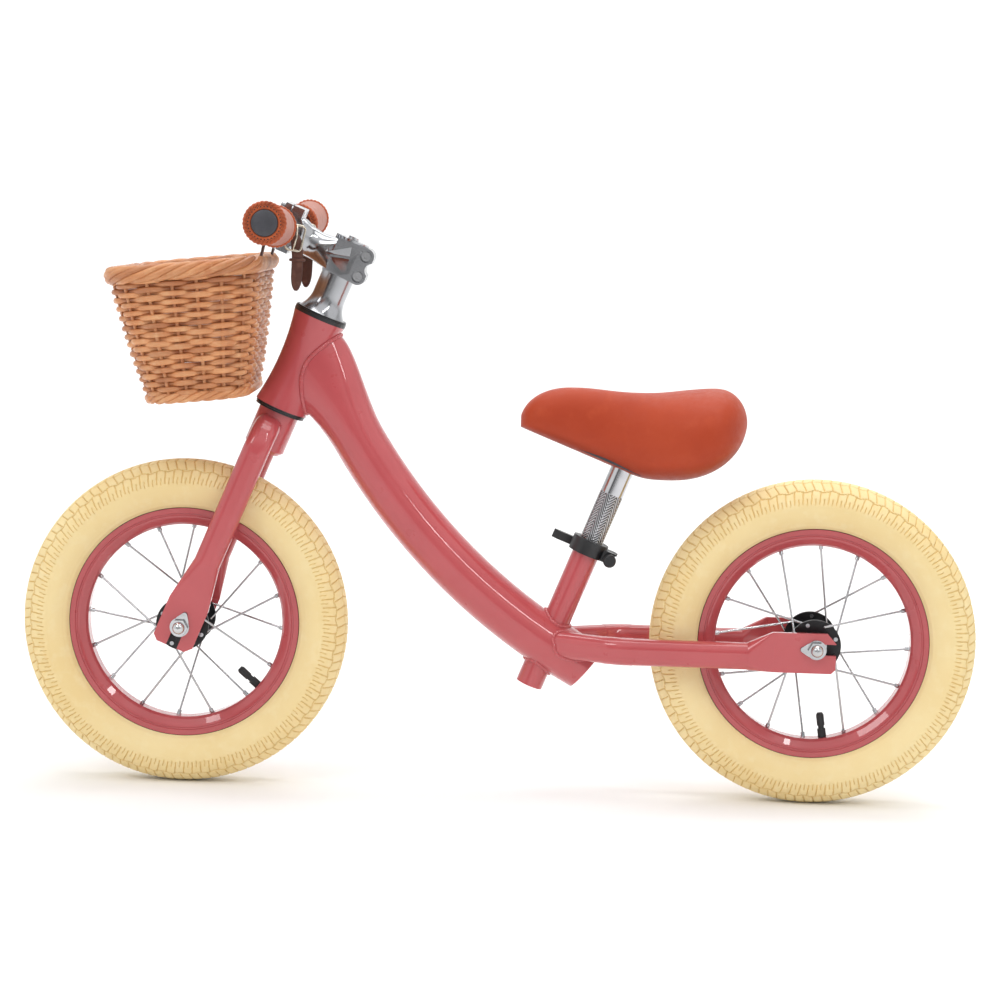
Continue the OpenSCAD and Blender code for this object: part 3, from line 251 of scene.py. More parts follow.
class Mat:
    """A Principled material, with methods that layer colour, roughness and bump on it."""

    def __init__(self, name, color, rough, metal=0.0, coat=0.0, coat_rough=0.04, spec=0.5, sheen=0.0):
        self.m = bpy.data.materials.new(name)
        self.m.use_nodes = True
        self.t = self.m.node_tree
        self.b = self.t.nodes["Principled BSDF"]
        self.color = color
        for key, value in (("Base Color", color), ("Roughness", rough), ("Metallic", metal),
                           ("Coat Weight", coat), ("Coat Roughness", coat_rough),
                           ("Specular IOR Level", spec), ("Sheen Weight", sheen)):
            self.b.inputs[key].default_value = value
        self.where = self.node("ShaderNodeTexCoord").outputs["Object"]
        self.normal = None

    def node(self, kind, **sets):
        n = self.t.nodes.new(kind)
        for k, v in sets.items():
            if hasattr(n, k):
                setattr(n, k, v)
            else:
                n.inputs[k].default_value = v
        return n

    def link(self, a, b):
        self.t.links.new(a, b)

    def noise(self, scale, detail=4.0, rough=0.55):
        n = self.node("ShaderNodeTexNoise", Scale=scale, Detail=detail, Roughness=rough)
        self.link(self.where, n.inputs["Vector"])
        return n.outputs["Fac"]

    def ramp(self, fac, low, high, a=0.3, b=0.7):
        n = self.node("ShaderNodeMapRange")
        n.inputs["From Min"].default_value, n.inputs["From Max"].default_value = a, b
        n.inputs["To Min"].default_value, n.inputs["To Max"].default_value = low, high
        self.link(fac, n.inputs["Value"])
        return n.outputs["Result"]

    def mix_color(self, fac, second):
        n = self.node("ShaderNodeMix", data_type="RGBA")
        self.link(fac, n.inputs["Factor"])
        src = self.b.inputs["Base Color"]
        if src.links:
            self.link(src.links[0].from_socket, n.inputs[6])
        else:
            n.inputs[6].default_value = self.color
        n.inputs[7].default_value = second
        self.link(n.outputs[2], src)
        return self

    def vary(self, second, scale, a=0.35, b=0.7, amount=1.0):
        return self.mix_color(self.ramp(self.noise(scale), 0.0, amount, a, b), second)

    def by_tint(self, second, a=0.0, b=1.0, amount=1.0):
        at = self.node("ShaderNodeAttribute", attribute_name="tint")
        return self.mix_color(self.ramp(at.outputs["Fac"], 0.0, amount, a, b), second)

    def rough(self, low, high, scale):
        self.link(self.ramp(self.noise(scale, 5.0), low, high), self.b.inputs["Roughness"])
        return self

    def bump(self, height, strength=0.4, distance=0.0003):
        n = self.node("ShaderNodeBump", Strength=strength, Distance=distance)
        self.link(height, n.inputs["Height"])
        if self.normal:
            self.link(self.normal, n.inputs["Normal"])
        self.normal = n.outputs["Normal"]
        self.link(self.normal, self.b.inputs["Normal"])
        return self

    def cells(self, scale, feature="F1"):
        n = self.node("ShaderNodeTexVoronoi", feature=feature, Scale=scale)
        self.link(self.where, n.inputs["Vector"])
        return n.outputs["Distance"]


def gloss_paint(name, color, deep):
    m = Mat(name, color, 0.4, coat=1.0, coat_rough=0.02, spec=0.25)
    m.vary(deep, 22, 0.3, 0.75)
    m.rough(0.26, 0.38, 60)
    m.bump(m.noise(420, 2.0), 0.05, 0.0002)
    return m.m


def metal(name, color, low, high, dark, scale=60, bump=0.06):
    m = Mat(name, color, low, metal=1.0)
    m.vary(dark, scale * 0.5, 0.35, 0.8, amount=0.6)
    m.rough(low, high, scale)
    m.bump(m.noise(900, 3.0), bump, 0.0002)
    return m.m


def knurled_chrome():
    m = Mat("post_chrome_knurl", rgb(206, 206, 209), 0.08, metal=1.0)
    m.vary(rgb(184, 185, 188), 30, 0.35, 0.8)
    # painted shade: the tint, which is the knurl's cut depth, colours its grooves near black
    m.by_tint(rgb(58, 58, 61), 0.1, 0.9, 0.95)
    m.rough(0.06, 0.16, 60)
    m.bump(m.noise(900, 3.0), 0.02, 0.0002)
    return m.m


def black_part(name, color, edge, rough_low, rough_high, metal_w=0.0):
    m = Mat(name, color, rough_low, metal=metal_w, coat=0.15, coat_rough=0.2)
    m.vary(edge, 80, 0.45, 0.8)
    m.rough(rough_low, rough_high, 136)
    m.bump(m.noise(1300, 3.0), 0.12, 0.0002)
    return m.m


def leather(name, color, dark, light, grain, bump):
    m = Mat(name, color, 0.5, spec=0.4, sheen=0.06)
    m.vary(dark, 70, 0.45, 0.8, amount=0.7)
    m.vary(light, 160, 0.55, 0.85, amount=0.5)
    # the tint darkens it: painted shade in the grip's seam groove and on the braid's cords where they wind
    # in; the strap's edges are darker too
    m.by_tint(dark)
    m.rough(0.5, 0.72, 240)
    m.bump(m.cells(grain, "F1"), bump, 0.00025)
    m.bump(m.noise(grain * 2.4, 4.0), bump * 0.5, 0.0001)
    return m.m


PAINT = gloss_paint("frame_paint", rgb(190, 82, 86), rgb(183, 76, 80))
RIM_PAINT = gloss_paint("rim_paint", rgb(184, 80, 84), rgb(176, 73, 77))
BLACK = black_part("black_anodised", rgb(24, 24, 26), rgb(40, 40, 43), 0.3, 0.5)
HUB = black_part("hub_black", rgb(22, 22, 24), rgb(38, 38, 41), 0.25, 0.45, 0.3)
ZINC = metal("zinc_steel", rgb(205, 206, 208), 0.14, 0.3, rgb(168, 169, 172))
SPOKE = metal("spoke_steel", rgb(190, 191, 194), 0.18, 0.32, rgb(150, 151, 155))
POST = knurled_chrome()
ALLOY = metal("polished_aluminium", rgb(186, 187, 190), 0.1, 0.24, rgb(156, 157, 161), 45, bump=0.05)
DARK_STEEL = metal("dark_steel", rgb(86, 86, 90), 0.3, 0.5, rgb(60, 60, 64))
WIRE = metal("buckle_wire", rgb(214, 206, 190), 0.16, 0.34, rgb(160, 148, 128))
RUBBER = black_part("black_rubber", rgb(28, 28, 30), rgb(42, 42, 45), 0.5, 0.75)
CAP = black_part("cap_plastic", rgb(58, 58, 64), rgb(72, 72, 78), 0.5, 0.7)
GRIP = leather("grip_leather", rgb(176, 116, 100), rgb(158, 98, 82), rgb(194, 138, 122), 750, 0.3)
BRAID = leather("braid_leather", rgb(186, 88, 46), rgb(118, 48, 22), rgb(204, 108, 62), 1100, 0.3)
STRAP = leather("strap_leather", rgb(92, 56, 44), rgb(52, 28, 22), rgb(140, 96, 80), 1000, 0.3)


def tyre_material():
    m = Mat("tyre_rubber", rgb(241, 219, 165), 0.62, spec=0.35)
    m.vary(rgb(236, 209, 150), 14, 0.35, 0.75)
    m.vary(rgb(244, 226, 180), 90, 0.5, 0.85, amount=0.6)
    # painted shade: the tint darkens the tread's grooves and the sidewall's moulded rings to a deeper ochre
    m.by_tint(rgb(217, 180, 108), 0.15, 1.0, 0.8)
    m.rough(0.55, 0.74, 120)
    m.bump(m.noise(1500, 4.0), 0.16, 0.0002)
    return m.m


def saddle_material():
    m = Mat("saddle_skin", rgb(178, 66, 32), 0.55, spec=0.3, sheen=0.02)
    m.vary(rgb(168, 58, 27), 16, 0.35, 0.75)
    m.vary(rgb(188, 77, 42), 60, 0.55, 0.85, amount=0.6)
    # painted shade: the tint darkens the pad's underside
    m.by_tint(rgb(120, 42, 18))
    m.rough(0.44, 0.6, 190)
    m.bump(m.cells(1400, "F1"), 0.28, 0.0002)
    m.bump(m.noise(2600, 3.0), 0.16, 0.0001)
    return m.m


def wicker_material():
    m = Mat("wicker", rgb(222, 158, 106), 0.42, coat=0.35, coat_rough=0.22)
    m.vary(rgb(200, 126, 74), 55, 0.35, 0.68)
    m.vary(rgb(238, 192, 142), 110, 0.5, 0.8, amount=0.8)
    # the tint darkens it: random tone per cane, plus painted shade where canes pass behind stakes and rope
    # strands turn in
    m.by_tint(rgb(150, 82, 42), 0.1, 1.0, 0.8)
    m.vary(rgb(108, 58, 28), 260, 0.66, 0.9, amount=0.7)
    m.rough(0.34, 0.6, 200)
    m.bump(m.noise(700, 5.0, rough=0.65), 0.3, 0.0004)
    return m.m


TYRE = tyre_material()
SADDLE = saddle_material()
WICKER = wicker_material()

# ------------------------------------------------------------ CAD nodes that stay, with finished materials
KEPT = [
    (PAINT, "head_tube seat_tube left_chainstay right_chainstay fork_crown left_fork_leg right_fork_leg"),
    (RIM_PAINT, "front_rim rear_rim"),
    (BLACK, "headset_cups crown_race headset_top_cover seat_clamp_collar seat_clamp_nut clamp_lever"),
    (HUB, "front_hub_shell rear_hub_shell front_cones rear_cones"),
    (ZINC, "headset_bearings seat_clamp_skewer rear_axle front_axle rear_axle_nuts front_axle_nuts "
           "rear_tab_washers front_tab_washers stem_bolts top_cap_bolt steerer_tube front_hub_bearings "
           "rear_hub_bearings saddle_clamp_bolt"),
    (SPOKE, "front_spokes rear_spokes front_nipples rear_nipples"),
    (ALLOY, "riser_sleeve stem stem_faceplate top_cap handlebar"),
    (RUBBER, "front_inner_tube rear_inner_tube front_valve rear_valve"),
    (DARK_STEEL, "saddle_clamp"),
]
for mat, names in KEPT:
    for name in names.split():
        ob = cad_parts[name]
        for sl in ob.material_slots:
            sl.material = mat
        if not ob.material_slots:
            ob.data.materials.append(mat)


# ------------------------------------------------------------ tyres
def ridge(x, at, width, height):
    return height * np.exp(-((x - at) / width) ** 2)


def groove(distance, half):
    """1 in a groove's middle, 0 past its edge, with a short sloped wall."""
    return np.clip((half * 1.5 - np.abs(distance)) / (half * 0.9), 0, 1)


def zigzag(u):
    return 4 * np.abs(u - np.floor(u + 0.5)) - 1


def tread(u, w):
    """Groove depth from 0 to 1 at block number u round the tyre and place w across it, -1 to 1."""
    side = np.abs(w)
    first, second, ring_half = 0.27, 0.62, 0.012
    wave = zigzag(u / 2 + np.where(w > 0, 0.25, 0))
    rings = np.maximum(groove(side - first - 0.035 * wave, ring_half),
                       groove(side - second - 0.04 * wave, ring_half))
    row = np.where(side < first, 0, np.where(side < second, 1, 2))
    shift = np.choose(row, [1.1 * w, 0.5 + 0.9 * side, -0.5 * side])
    x = u + shift
    cross = groove(x - np.round(x), 0.058)
    half = x + 0.5
    short = groove(half - np.round(half), 0.045) * ((row == 2) & (side > 0.84))
    return np.maximum(np.maximum(rings, cross * (side < 0.985)), short)


def tyre(name, x, body, phase):
    """A hollow tyre with cut tread over its crown and moulded rings on its sidewalls."""
    turns, blocks, groove_depth = 1188, 108, 1.25
    edge = math.acos(0.16)
    last = math.acos((RIM_R - RING_R) / SECTION_R)
    across = np.concatenate([np.linspace(-last, -edge, 20, endpoint=False), np.linspace(-edge, edge, 81),
                             np.linspace(edge, last, 21)[1:]])
    turn = steps_of(turns)
    A, T = np.meshgrid(across, turn)
    w = A / edge
    depth = np.where(np.abs(w) <= 1, tread(T / TAU * blocks + phase, np.clip(w, -1, 1)), 0)
    r_side = RING_R + SECTION_R * np.cos(A)
    lift = ridge(r_side, 128.2, 0.5, 0.45) + ridge(r_side, 113.4, 0.5, 0.4) + ridge(r_side, 110.2, 0.8, 0.5)
    lift = np.where(np.abs(w) > 1, lift, 0) - 0.7 * np.clip((np.abs(w) - 1) * 12, 0, 1)
    rad = SECTION_R - groove_depth * depth * np.clip(1.25 - 0.55 * np.abs(w), 0, 1) + lift
    r = RING_R + rad * np.cos(A)
    y = rad * np.sin(A)
    back = np.linspace(last, -last, 14)
    r_in = RING_R + (SECTION_R - TYRE_WALL) * np.cos(back)
    y_in = (SECTION_R - TYRE_WALL) * np.sin(back)
    r = np.hstack([r, np.tile(r_in, (turns, 1))])
    y = np.hstack([y, np.tile(y_in, (turns, 1))])
    T2 = np.repeat(turn[:, None], r.shape[1], 1)
    rows = np.stack([x + r * np.cos(T2), y, WHEEL_R + r * np.sin(T2)], -1)
    # painted shade: the tint is the groove depth on the tread, and a fixed amount on the raised sidewall
    # rings
    tint = np.hstack([np.maximum(depth, 0.35 * (lift > 0.15)), np.zeros((turns, len(back)))])
    b = Build()
    b.grid(rows, closed_u=True, closed_v=True, tint=tint)
    return b.make(name, TYRE, body, "tyre_rubber", (name.replace("_detail", ""),), sharp=35)


tyre("front_tyre_detail", FRONT_X, "front_wheel", 0.0)
tyre("rear_tyre_detail", REAR_X, "rear_wheel", 0.4)


# ------------------------------------------------------------ main tube and weld beads
HEAD_PT = steer([29, 0, 45])[[0, 2]]
SEAT_PT = seat([0, 0, -9.5])[[0, 2]]
chord = SEAT_PT - HEAD_PT
chord_l = np.linalg.norm(chord)
bow = math.sqrt(MAIN_BEND**2 - chord_l**2 / 4)
BEND_C = (HEAD_PT + SEAT_PT) / 2 + bow * np.array([-chord[1], chord[0]]) / chord_l


def turn_of(p):
    return math.atan2(p[1] - BEND_C[1], p[0] - BEND_C[0])


HEAD_TURN, SEAT_TURN = turn_of(HEAD_PT) + TAU, turn_of(SEAT_PT) + TAU
CUT_TURN = SEAT_TURN + 44 / MAIN_BEND
CUT_LEAN = math.radians(11.5)
SIDES = 96
PSI = steps_of(SIDES)


def main_ring(turn, r, slant=0.0):
    """A ring of the tube. psi 0 points to +Y and 90 degrees to the inside of the bend."""
    out = np.array([math.cos(turn), 0, math.sin(turn)])
    along = np.array([-math.sin(turn), 0, math.cos(turn)])
    c = np.array([BEND_C[0], 0, BEND_C[1]]) + MAIN_BEND * out
    ring = c + r * (np.cos(PSI)[:, None] * np.array([0, 1, 0]) - np.sin(PSI)[:, None] * out)
    return ring - (np.sin(PSI)[:, None] * r * math.tan(slant)) * -along


def head_radius(s):
    """The waisted head tube's radius at height s."""
    waist = (HEAD_L**2 / 4 + HEAD_WAIST**2) / (2 * HEAD_WAIST)
    mid = s - HEAD_LOW - HEAD_L / 2
    return HEAD_R - HEAD_WAIST + waist - np.sqrt(waist**2 - mid**2)


def hermite(p, q, dp, dq, t):
    """Rings from p to q that leave along dp and arrive along dq."""
    t = t[:, None, None]
    return ((2 * t**3 - 3 * t**2 + 1) * p + (t**3 - 2 * t**2 + t) * dp
            + (-2 * t**3 + 3 * t**2) * q + (t**3 - t**2) * dq)


def main_tube():
    """The bent tube with its flared gusset. Returns the seam where it meets the head tube."""
    def slant(t):
        return CUT_LEAN * max(0, 1 - (CUT_TURN - t) / 0.05)

    blend = HEAD_TURN + math.radians(6.6)
    start = main_ring(blend, MAIN_R)
    toward = np.array([math.sin(blend), 0, -math.cos(blend)])
    up, out = np.sin(PSI), np.cos(PSI)
    y = 20.0 * np.sign(out) * np.abs(out) ** 0.8
    s = 46.5 + 39.5 * np.sign(up) * np.abs(up) ** 0.85
    off = np.sqrt(np.maximum(20.0**2 - y**2, 16.0))
    end = steer(np.stack([off, y, s], -1))
    span = np.linalg.norm(end - start, axis=1)[:, None]
    inward = steer([-1, 0, 0]) - steer([0, 0, 0])
    gusset = hermite(end[None], start[None], (-inward * span * 0.55)[None], (-toward * span * 1.0)[None],
                     np.linspace(0, 1, 40))
    turns = np.linspace(blend, CUT_TURN, 70)[1:]
    arc = [main_ring(t, MAIN_R, slant(t)) for t in turns]
    lip = [main_ring(CUT_TURN, MAIN_R - 0.5, CUT_LEAN), main_ring(CUT_TURN, MAIN_R - MAIN_WALL, CUT_LEAN)]
    inner = [main_ring(t, MAIN_R - MAIN_WALL, slant(t))
             for t in np.linspace(CUT_TURN - 0.004, SEAT_TURN - 0.01, 8)]
    skin = Build().grid(np.concatenate([gusset, np.array(arc + lip + inner)]), closed_v=True, caps=True)
    # the post slides down through the tube, inside the seat tube
    bore = Build().loft(seat, [circle(MAIN_BORE, s, 64) for s in (-80, 80)])
    carve("main_tube_detail", skin, [], [bore], 0, PAINT, "frame", ("main_tube",))
    # where the tube's lines meet the head tube
    local = (gusset - STEER) @ lean(HEAD_ANGLE)
    seam = []
    for k in range(SIDES):
        line = local[:, k]
        gap = np.hypot(line[:, 0], line[:, 1]) - head_radius(np.clip(line[:, 2], 2, 92)) - 0.4
        hit = np.argmax(gap > 0)
        f = gap[hit - 1] / (gap[hit - 1] - gap[hit]) if hit else 0
        seam.append(gusset[hit - 1, k] * (1 - f) + gusset[hit, k] * f if hit else gusset[0, k])
    return np.array(seam)


def resample(path, step, closed=True):
    """Points at equal steps along path, their distances, and its length."""
    p = np.vstack([path, path[:1]]) if closed else np.asarray(path)
    d = np.concatenate([[0], np.cumsum(np.linalg.norm(np.diff(p, axis=0), axis=1))])
    n = max(8, int(round(d[-1] / step)))
    at = np.linspace(0, d[-1], n, endpoint=not closed)
    return np.stack([np.interp(at, d, p[:, k]) for k in range(3)], -1), at, d[-1]


def bead(b, path, r, ref):
    """A weld bead on a closed path, whose radius rises and drops like overlapping scales."""
    pitch = 2.9
    pts, at, total = resample(path, 0.45)
    count = max(1, round(total / pitch))
    scale = (at / total * count) % 1.0
    b.rod(pts, r * (0.72 + 0.34 * scale**0.6), 12, True, ref)


def arc_gap(p):
    """Distance of points from the main tube's surface."""
    rho = np.hypot(p[..., 0] - BEND_C[0], p[..., 2] - BEND_C[1]) - MAIN_BEND
    return np.hypot(rho, p[..., 1]) - MAIN_R


def first_hit(start, step, gap):
    """Marches from start by step until gap turns negative. start is N x 3."""
    k = np.arange(400)[:, None, None]
    path = start[None] + k * step
    g = gap(path)
    hit = np.argmax(g < 0, axis=0)
    return path[hit, np.arange(len(start))], (g < 0).any(axis=0)


welds = Build()
bead(welds, main_tube(), 2.3, ref=(0, 1, 0.01))
# the seat tube meets the main tube above and below
axis_s = seat([0, 0, 1]) - seat([0, 0, 0])
for s, way in ((70, -1), (-75, 1)):
    hit, _ = first_hit(seat(circle(SEAT_WELD_R, s, 64)), way * axis_s * 0.4, arc_gap)
    bead(welds, hit, 2.0, ref=axis_s)


def seat_gap(p):
    q = p - SEAT
    along = q @ axis_s
    return np.linalg.norm(q - along[..., None] * axis_s, axis=-1) - SEAT_TUBE_R


# each chainstay's oval section runs forward from its bend until it meets a tube
for side in (1, -1):
    c, n = math.cos(STAY_TURN), math.sin(STAY_TURN)
    bend = np.array([STAY_X - STAY_BEND * n, STAY_Y - STAY_BEND * (1 - c), STAY_Z])
    ahead, across = np.array([-c, -n, 0]), np.array([n, -c, 0])
    a = steps_of(64)
    up_z = np.sin(a)
    flat = 3.5 * np.sign(up_z) * (np.abs(up_z) > 1e-6)
    oval = np.stack([np.cos(a) * STAY_R, flat + STAY_R * up_z], -1)
    start = bend + across * oval[:, :1] + np.array([0, 0, 1]) * oval[:, 1:]
    hit, ok = first_hit(start, ahead * 0.3, lambda p: np.minimum(arc_gap(p), seat_gap(p)))
    hit = hit[ok] * [1, side, 1]
    if len(hit) > 20:
        bead(welds, hit, 1.9, ref=(1, 0, 0.01))
welds.make("weld_beads", PAINT, "frame", "frame_paint")


# ------------------------------------------------------------ seat post with its knurled band
def seat_post():
    n, low, high, deepest = 180, 18.0, 181.0, 0.45
    T, F = np.meshgrid(np.linspace(low, high, 420), steps_of(n), indexing="ij")
    # columns of slanted cuts, each column mirrored from the last
    band = (T > 40) & (T < 142)
    columns = F / TAU * 12
    flip = np.where(np.floor(columns) % 2 < 1, 1.0, -1.0)
    lines = (T / 3.1 + flip * (columns - np.floor(columns)) * 2.2) % 1.0
    cut = groove(lines - 0.5, 0.2) * band
    split = groove(columns - np.round(columns), 0.05) * band
    depth = np.maximum(cut, split * 0.6)
    rad = POST_R - deepest * depth
    rows = np.stack([rad * np.cos(F), rad * np.sin(F), T], -1)
    inner = [circle(POST_R - POST_WALL, s, n) for s in (high, low)]
    b = Build()
    # the knurl's depth is kept as its tint, which paints shade into the grooves
    b.grid(seat(np.concatenate([rows, inner])), closed_u=True, closed_v=True,
           tint=np.concatenate([depth, np.zeros((2, n))]))
    b.make("seat_post_detail", POST, "seat", "post_chrome", ("seat_post",), sharp=35)


seat_post()


# ------------------------------------------------------------ saddle
def ramp(x, a, b):
    t = np.clip((x - a) / (b - a), 0, 1)
    return t * t * (3 - 2 * t)


def arch(x, start, reach):
    return np.sqrt(np.maximum(0, 1 - (np.maximum(0, (x - start) / reach)) ** 2))


NOSE, TAIL = -0.456 * SADDLE_L, -0.456 * SADDLE_L + SADDLE_L


def saddle_point(x, turn):
    """A point of the pad x along it and at angle turn round its section."""
    back, front = TAIL - 26, -NOSE - 45
    top = np.where(x < -front, 43 + 32.5 * arch(-x, front, 45.6),
                   np.where(x > back, 48 + 30.5 * arch(x, back, 26.2),
                            75.5 - 3.2 * (ramp(x, -40, 5) - ramp(x, 25, 60)) + 3 * ramp(x, 45, back)))
    back = TAIL - 69
    low = np.where(x > back, 48 - 55.5 * arch(x, back, 69.2), np.maximum(-7.5, -x * math.tan(SEAT_ANGLE)))
    back, front = TAIL - 36, -NOSE - 22
    half = np.where(x < -front, 23 * arch(-x, front, 22.4),
                    np.where(x > back, SADDLE_W / 2 * arch(x, back, 36.4),
                             23 + (SADDLE_W / 2 - 23) * ramp(x, -25, back)))
    mid = low + 0.45 * (top - low)
    up, out = np.sin(turn), np.cos(turn)
    y = half * np.sign(out) * np.abs(out) ** 0.8
    z = mid + np.where(up > 0, top - mid, mid - low) * np.sign(up) * np.abs(up) ** 0.85
    return np.stack([np.broadcast_to(x, y.shape), y, z], -1)


def saddle():
    rings, points = 150, 140
    i = np.arange(rings) / (rings - 1)
    x = (NOSE + TAIL) / 2 - (SADDLE_L / 2 - 0.05) * np.cos(math.pi * i)
    turn = (np.arange(points) + 0.5) / points * TAU
    X, T = np.meshgrid(x, turn, indexing="ij")
    p = saddle_point(X, T)
    # smooth the joins of the outline's curves along the length
    for _ in range(30):
        p[1:-1] = 0.25 * p[:-2] + 0.5 * p[1:-1] + 0.25 * p[2:]
    origin = seat([0, 0, SADDLE_T])
    b = Build()
    # painted shade: the lower part of the pad is coloured darker, as shade under it
    painted_underside_shade = np.clip(-np.sin(T) * 1.6 - 0.75, 0, 1) * 0.8
    b.grid(p + origin, closed_v=True, caps=True, tint=painted_underside_shade)
    o = b.make("saddle_detail", SADDLE, "seat", "saddle_skin", ("saddle_pad",))


def saddle_base():
    """The hard base plate inside the pad, with a low rim round its upper face."""
    outline = np.array([(-56, -12), (-56, 12), (4, 19), (16, 19), (16, -19), (4, -19)], float)
    closed = resample(np.c_[outline, np.zeros(6)], 1.5)[0][:, :2]
    layers = [(0.0, 3.4), (0.6, 3.2), (0.6, 6.6), (0.0, 6.8), (-3.0, 6.8), (-3.4, 5.4), (-40.0, 5.4)]
    mid = closed.mean(0)
    rings = []
    for grow, s in layers:
        p = mid + (closed - mid) * max(0.06, 1 + grow / 19)
        rings.append(np.c_[p, np.full(len(p), SADDLE_T + s)])
    b = Build().loft(seat, rings)
    b.make("saddle_base_detail", CAP, "seat", "cap_plastic", ("saddle_base",), sharp=40)


saddle()
saddle_base()


# ------------------------------------------------------------ stem and its faceplate
BAR_AT = (BAR_OFF, BAR_S)
EARS = ((17.7, 142.0), (17.7, 162.0))
EAR_R, SPLIT_X = 7.6, -60.9


def prism(outline, half):
    """A closed block in steering-local space, outline in (off, s), reaching half to each side."""
    off, s = np.asarray(outline, float).T
    return Build().loft(steer, [np.stack([off, np.full_like(off, y), s], -1) for y in (-half, half)])


def disc(centre, r, half, steps=64):
    return prism(circle(r, 0, steps)[:, :2] + centre, half)


def post(r, low, high):
    return Build().loft(steer, [circle(r, s, 72) for s in (low, high)])


def oblong(off, y, s):
    return prism([(off[0], s[0]), (off[1], s[0]), (off[1], s[1]), (off[0], s[1])], 1).shift(y)


def bolt_hole(y, s):
    ring = circle(BOLT_R, 0, 28)
    return Build().loft(steer, [np.c_[np.full(28, x), y + ring[:, 0], s + ring[:, 1]] for x in (-80, -46)])


def flanges(low, high):
    """The two bars above and below the handlebar that the clamp's bolts pass through."""
    return [oblong((low, high), (-CLAMP_HALF, CLAMP_HALF), (s - 4.1, s + 4.1))
            for s in (BAR_S - BOLT_RISE, BAR_S + BOLT_RISE)]


def bolt_holes():
    return [bolt_hole(y, BAR_S + k * BOLT_RISE) for k in (-1, 1) for y in (-BOLT_OUT, BOLT_OUT)]


def neck():
    """The forged arm, round at its waist and boxy where it meets the steerer clamp."""
    off = np.linspace(-60, 4, 40)
    top = np.interp(off, [-60, -46, -38, -28, -20, -8, 4], [172.0, 170.8, 167.4, 165.6, 166.2, 167.8, 168.4])
    low = np.interp(off, [-60, -46, -38, -28, -20, -8, 4], [142.0, 140.0, 139.4, 138.6, 137.2, 135.7, 135.3])
    half = np.interp(off, [-60, -46, -36, -28, -20, -12, 4], [19.4, 17.2, 13.2, 12.8, 14.6, 16.4, 16.4])
    power = np.interp(off, [-60, -30, -18, -12], [0.8, 0.95, 0.5, 0.3])
    c, n = circle(1.0, 0, 56)[:, :2].T
    return Build().loft(steer, [np.stack([np.full_like(c, x), h * np.sign(c) * np.abs(c) ** p,
                                          (u + d) / 2 + (u - d) / 2 * np.sign(n) * np.abs(n) ** p], -1)
                                for x, u, d, h, p in zip(off, top, low, half, power)])


def recess(outline, side, slope):
    """A sunk panel whose floor leans along off and s."""
    off, s = np.asarray(outline, float).T
    depth = 2.5 - 0.11 * (off + 6) + slope * (s - 152)
    outside = np.full_like(depth, -2)
    return Build().loft(steer, [np.stack([off, side * (PLATE_HALF - d), s], -1) for d in (depth, outside)])


def stem():
    plate = [(-12, 136.2), (0, 135.4), (17.7, 134.6), (25.1, 142.0), (25.1, 162.0), (17.7, 169.4),
             (0, 168.8), (-12, 168.2)]
    more = [post(16.3, RISER_TOP + 0.02, STEM_TOP - 0.1), prism(plate, PLATE_HALF),
            disc(BAR_AT, CLAMP_R, CLAMP_HALF)]
    more += [disc(e, EAR_R, PLATE_HALF) for e in EARS] + flanges(SPLIT_X, -50)
    # bores for the bar and the steerer, the parting face, the gap between the ears and its slot
    cuts = [disc(BAR_AT, BAR_R, 40), post(STEERER_R, 120, 180), oblong((-90, SPLIT_X), (-40, 40), (110, 200)),
            disc((27.6, 152.0), 6.4, 40), oblong((0, 60), (-1.2, 1.2), (120, 190))]
    # a sunk triangle on each side, split by a slim rib
    for y in (-1, 1):
        cuts.append(recess([(-18.4, 149.4), (6.2, 139.0), (4.6, 153.8), (-10.5, 149.8)], y, 0.10))
        cuts.append(recess([(-17.4, 151.9), (-10.8, 151.8), (4.3, 156.0), (2.4, 164.6)], y, -0.10))
    for e in EARS:
        cuts.append(disc(e, BOLT_R, 40, 32))
        cuts.append(disc(e, 5.5, 1, 40).shift((-20, -9.0 + 0.02)))
    carve("stem_detail", neck(), more, cuts + bolt_holes(), 0.8, ALLOY, "steering",
          ("stem",))


def faceplate():
    cuts = [disc(BAR_AT, BAR_R, 40), oblong((-62.1, -20), (-40, 40), (110, 200)),
            oblong((-90, -60), (-7.5, 7.5), (BAR_S - 8, BAR_S + 8))]
    carve("stem_faceplate_detail", disc(BAR_AT, CLAMP_R, CLAMP_HALF), flanges(-68.3, -62.1),
          cuts + bolt_holes(), 0.7, ALLOY, "steering", ("stem_faceplate",))


stem()
faceplate()


# ------------------------------------------------------------ grips
def at_bar_end(side):
    """Local z runs outwards along the bar from its bend."""
    def place(p):
        p = np.asarray(p, float)
        x, up, along = p[..., 0], p[..., 1], p[..., 2]
        y = BAR_BEND_Y + along * math.cos(BAR_UPSWEEP) - up * math.sin(BAR_UPSWEEP)
        z = along * math.sin(BAR_UPSWEEP) + up * math.cos(BAR_UPSWEEP)
        return steer(np.stack([x + BAR_OFF, y * side, z + BAR_S], -1))
    return place


def sleeve(place, inner, outer):
    """A grip's leather tube, a little thicker at its ends, with a sewn seam along it."""
    steps, seam_turn = 128, 4.1
    h = np.linspace(inner + 3.5, outer - 3.5, 60)
    mid = (h - h.mean()) / (h[-1] - h[0]) * 2
    H, F = np.meshgrid(h, steps_of(steps), indexing="ij")
    seam = np.abs((F - seam_turn + math.pi) % TAU - math.pi)
    rad = (GRIP_R + 0.5 * mid[:, None] ** 4 - 0.9 * np.exp(-(seam / 0.05) ** 2)
           + 0.5 * np.exp(-((seam - 0.14) / 0.07) ** 2))
    rows = np.stack([rad * np.cos(F), rad * np.sin(F), H], -1)
    core = [circle(GRIP_BORE, s, steps) for s in (h[-1], h[0])]
    # painted shade: the seam's groove is coloured darker
    tint = np.concatenate([0.8 * np.exp(-(seam / 0.06) ** 2), np.zeros((2, steps))])
    return Build().grid(place(np.concatenate([rows, core])), closed_u=True, closed_v=True, tint=tint)


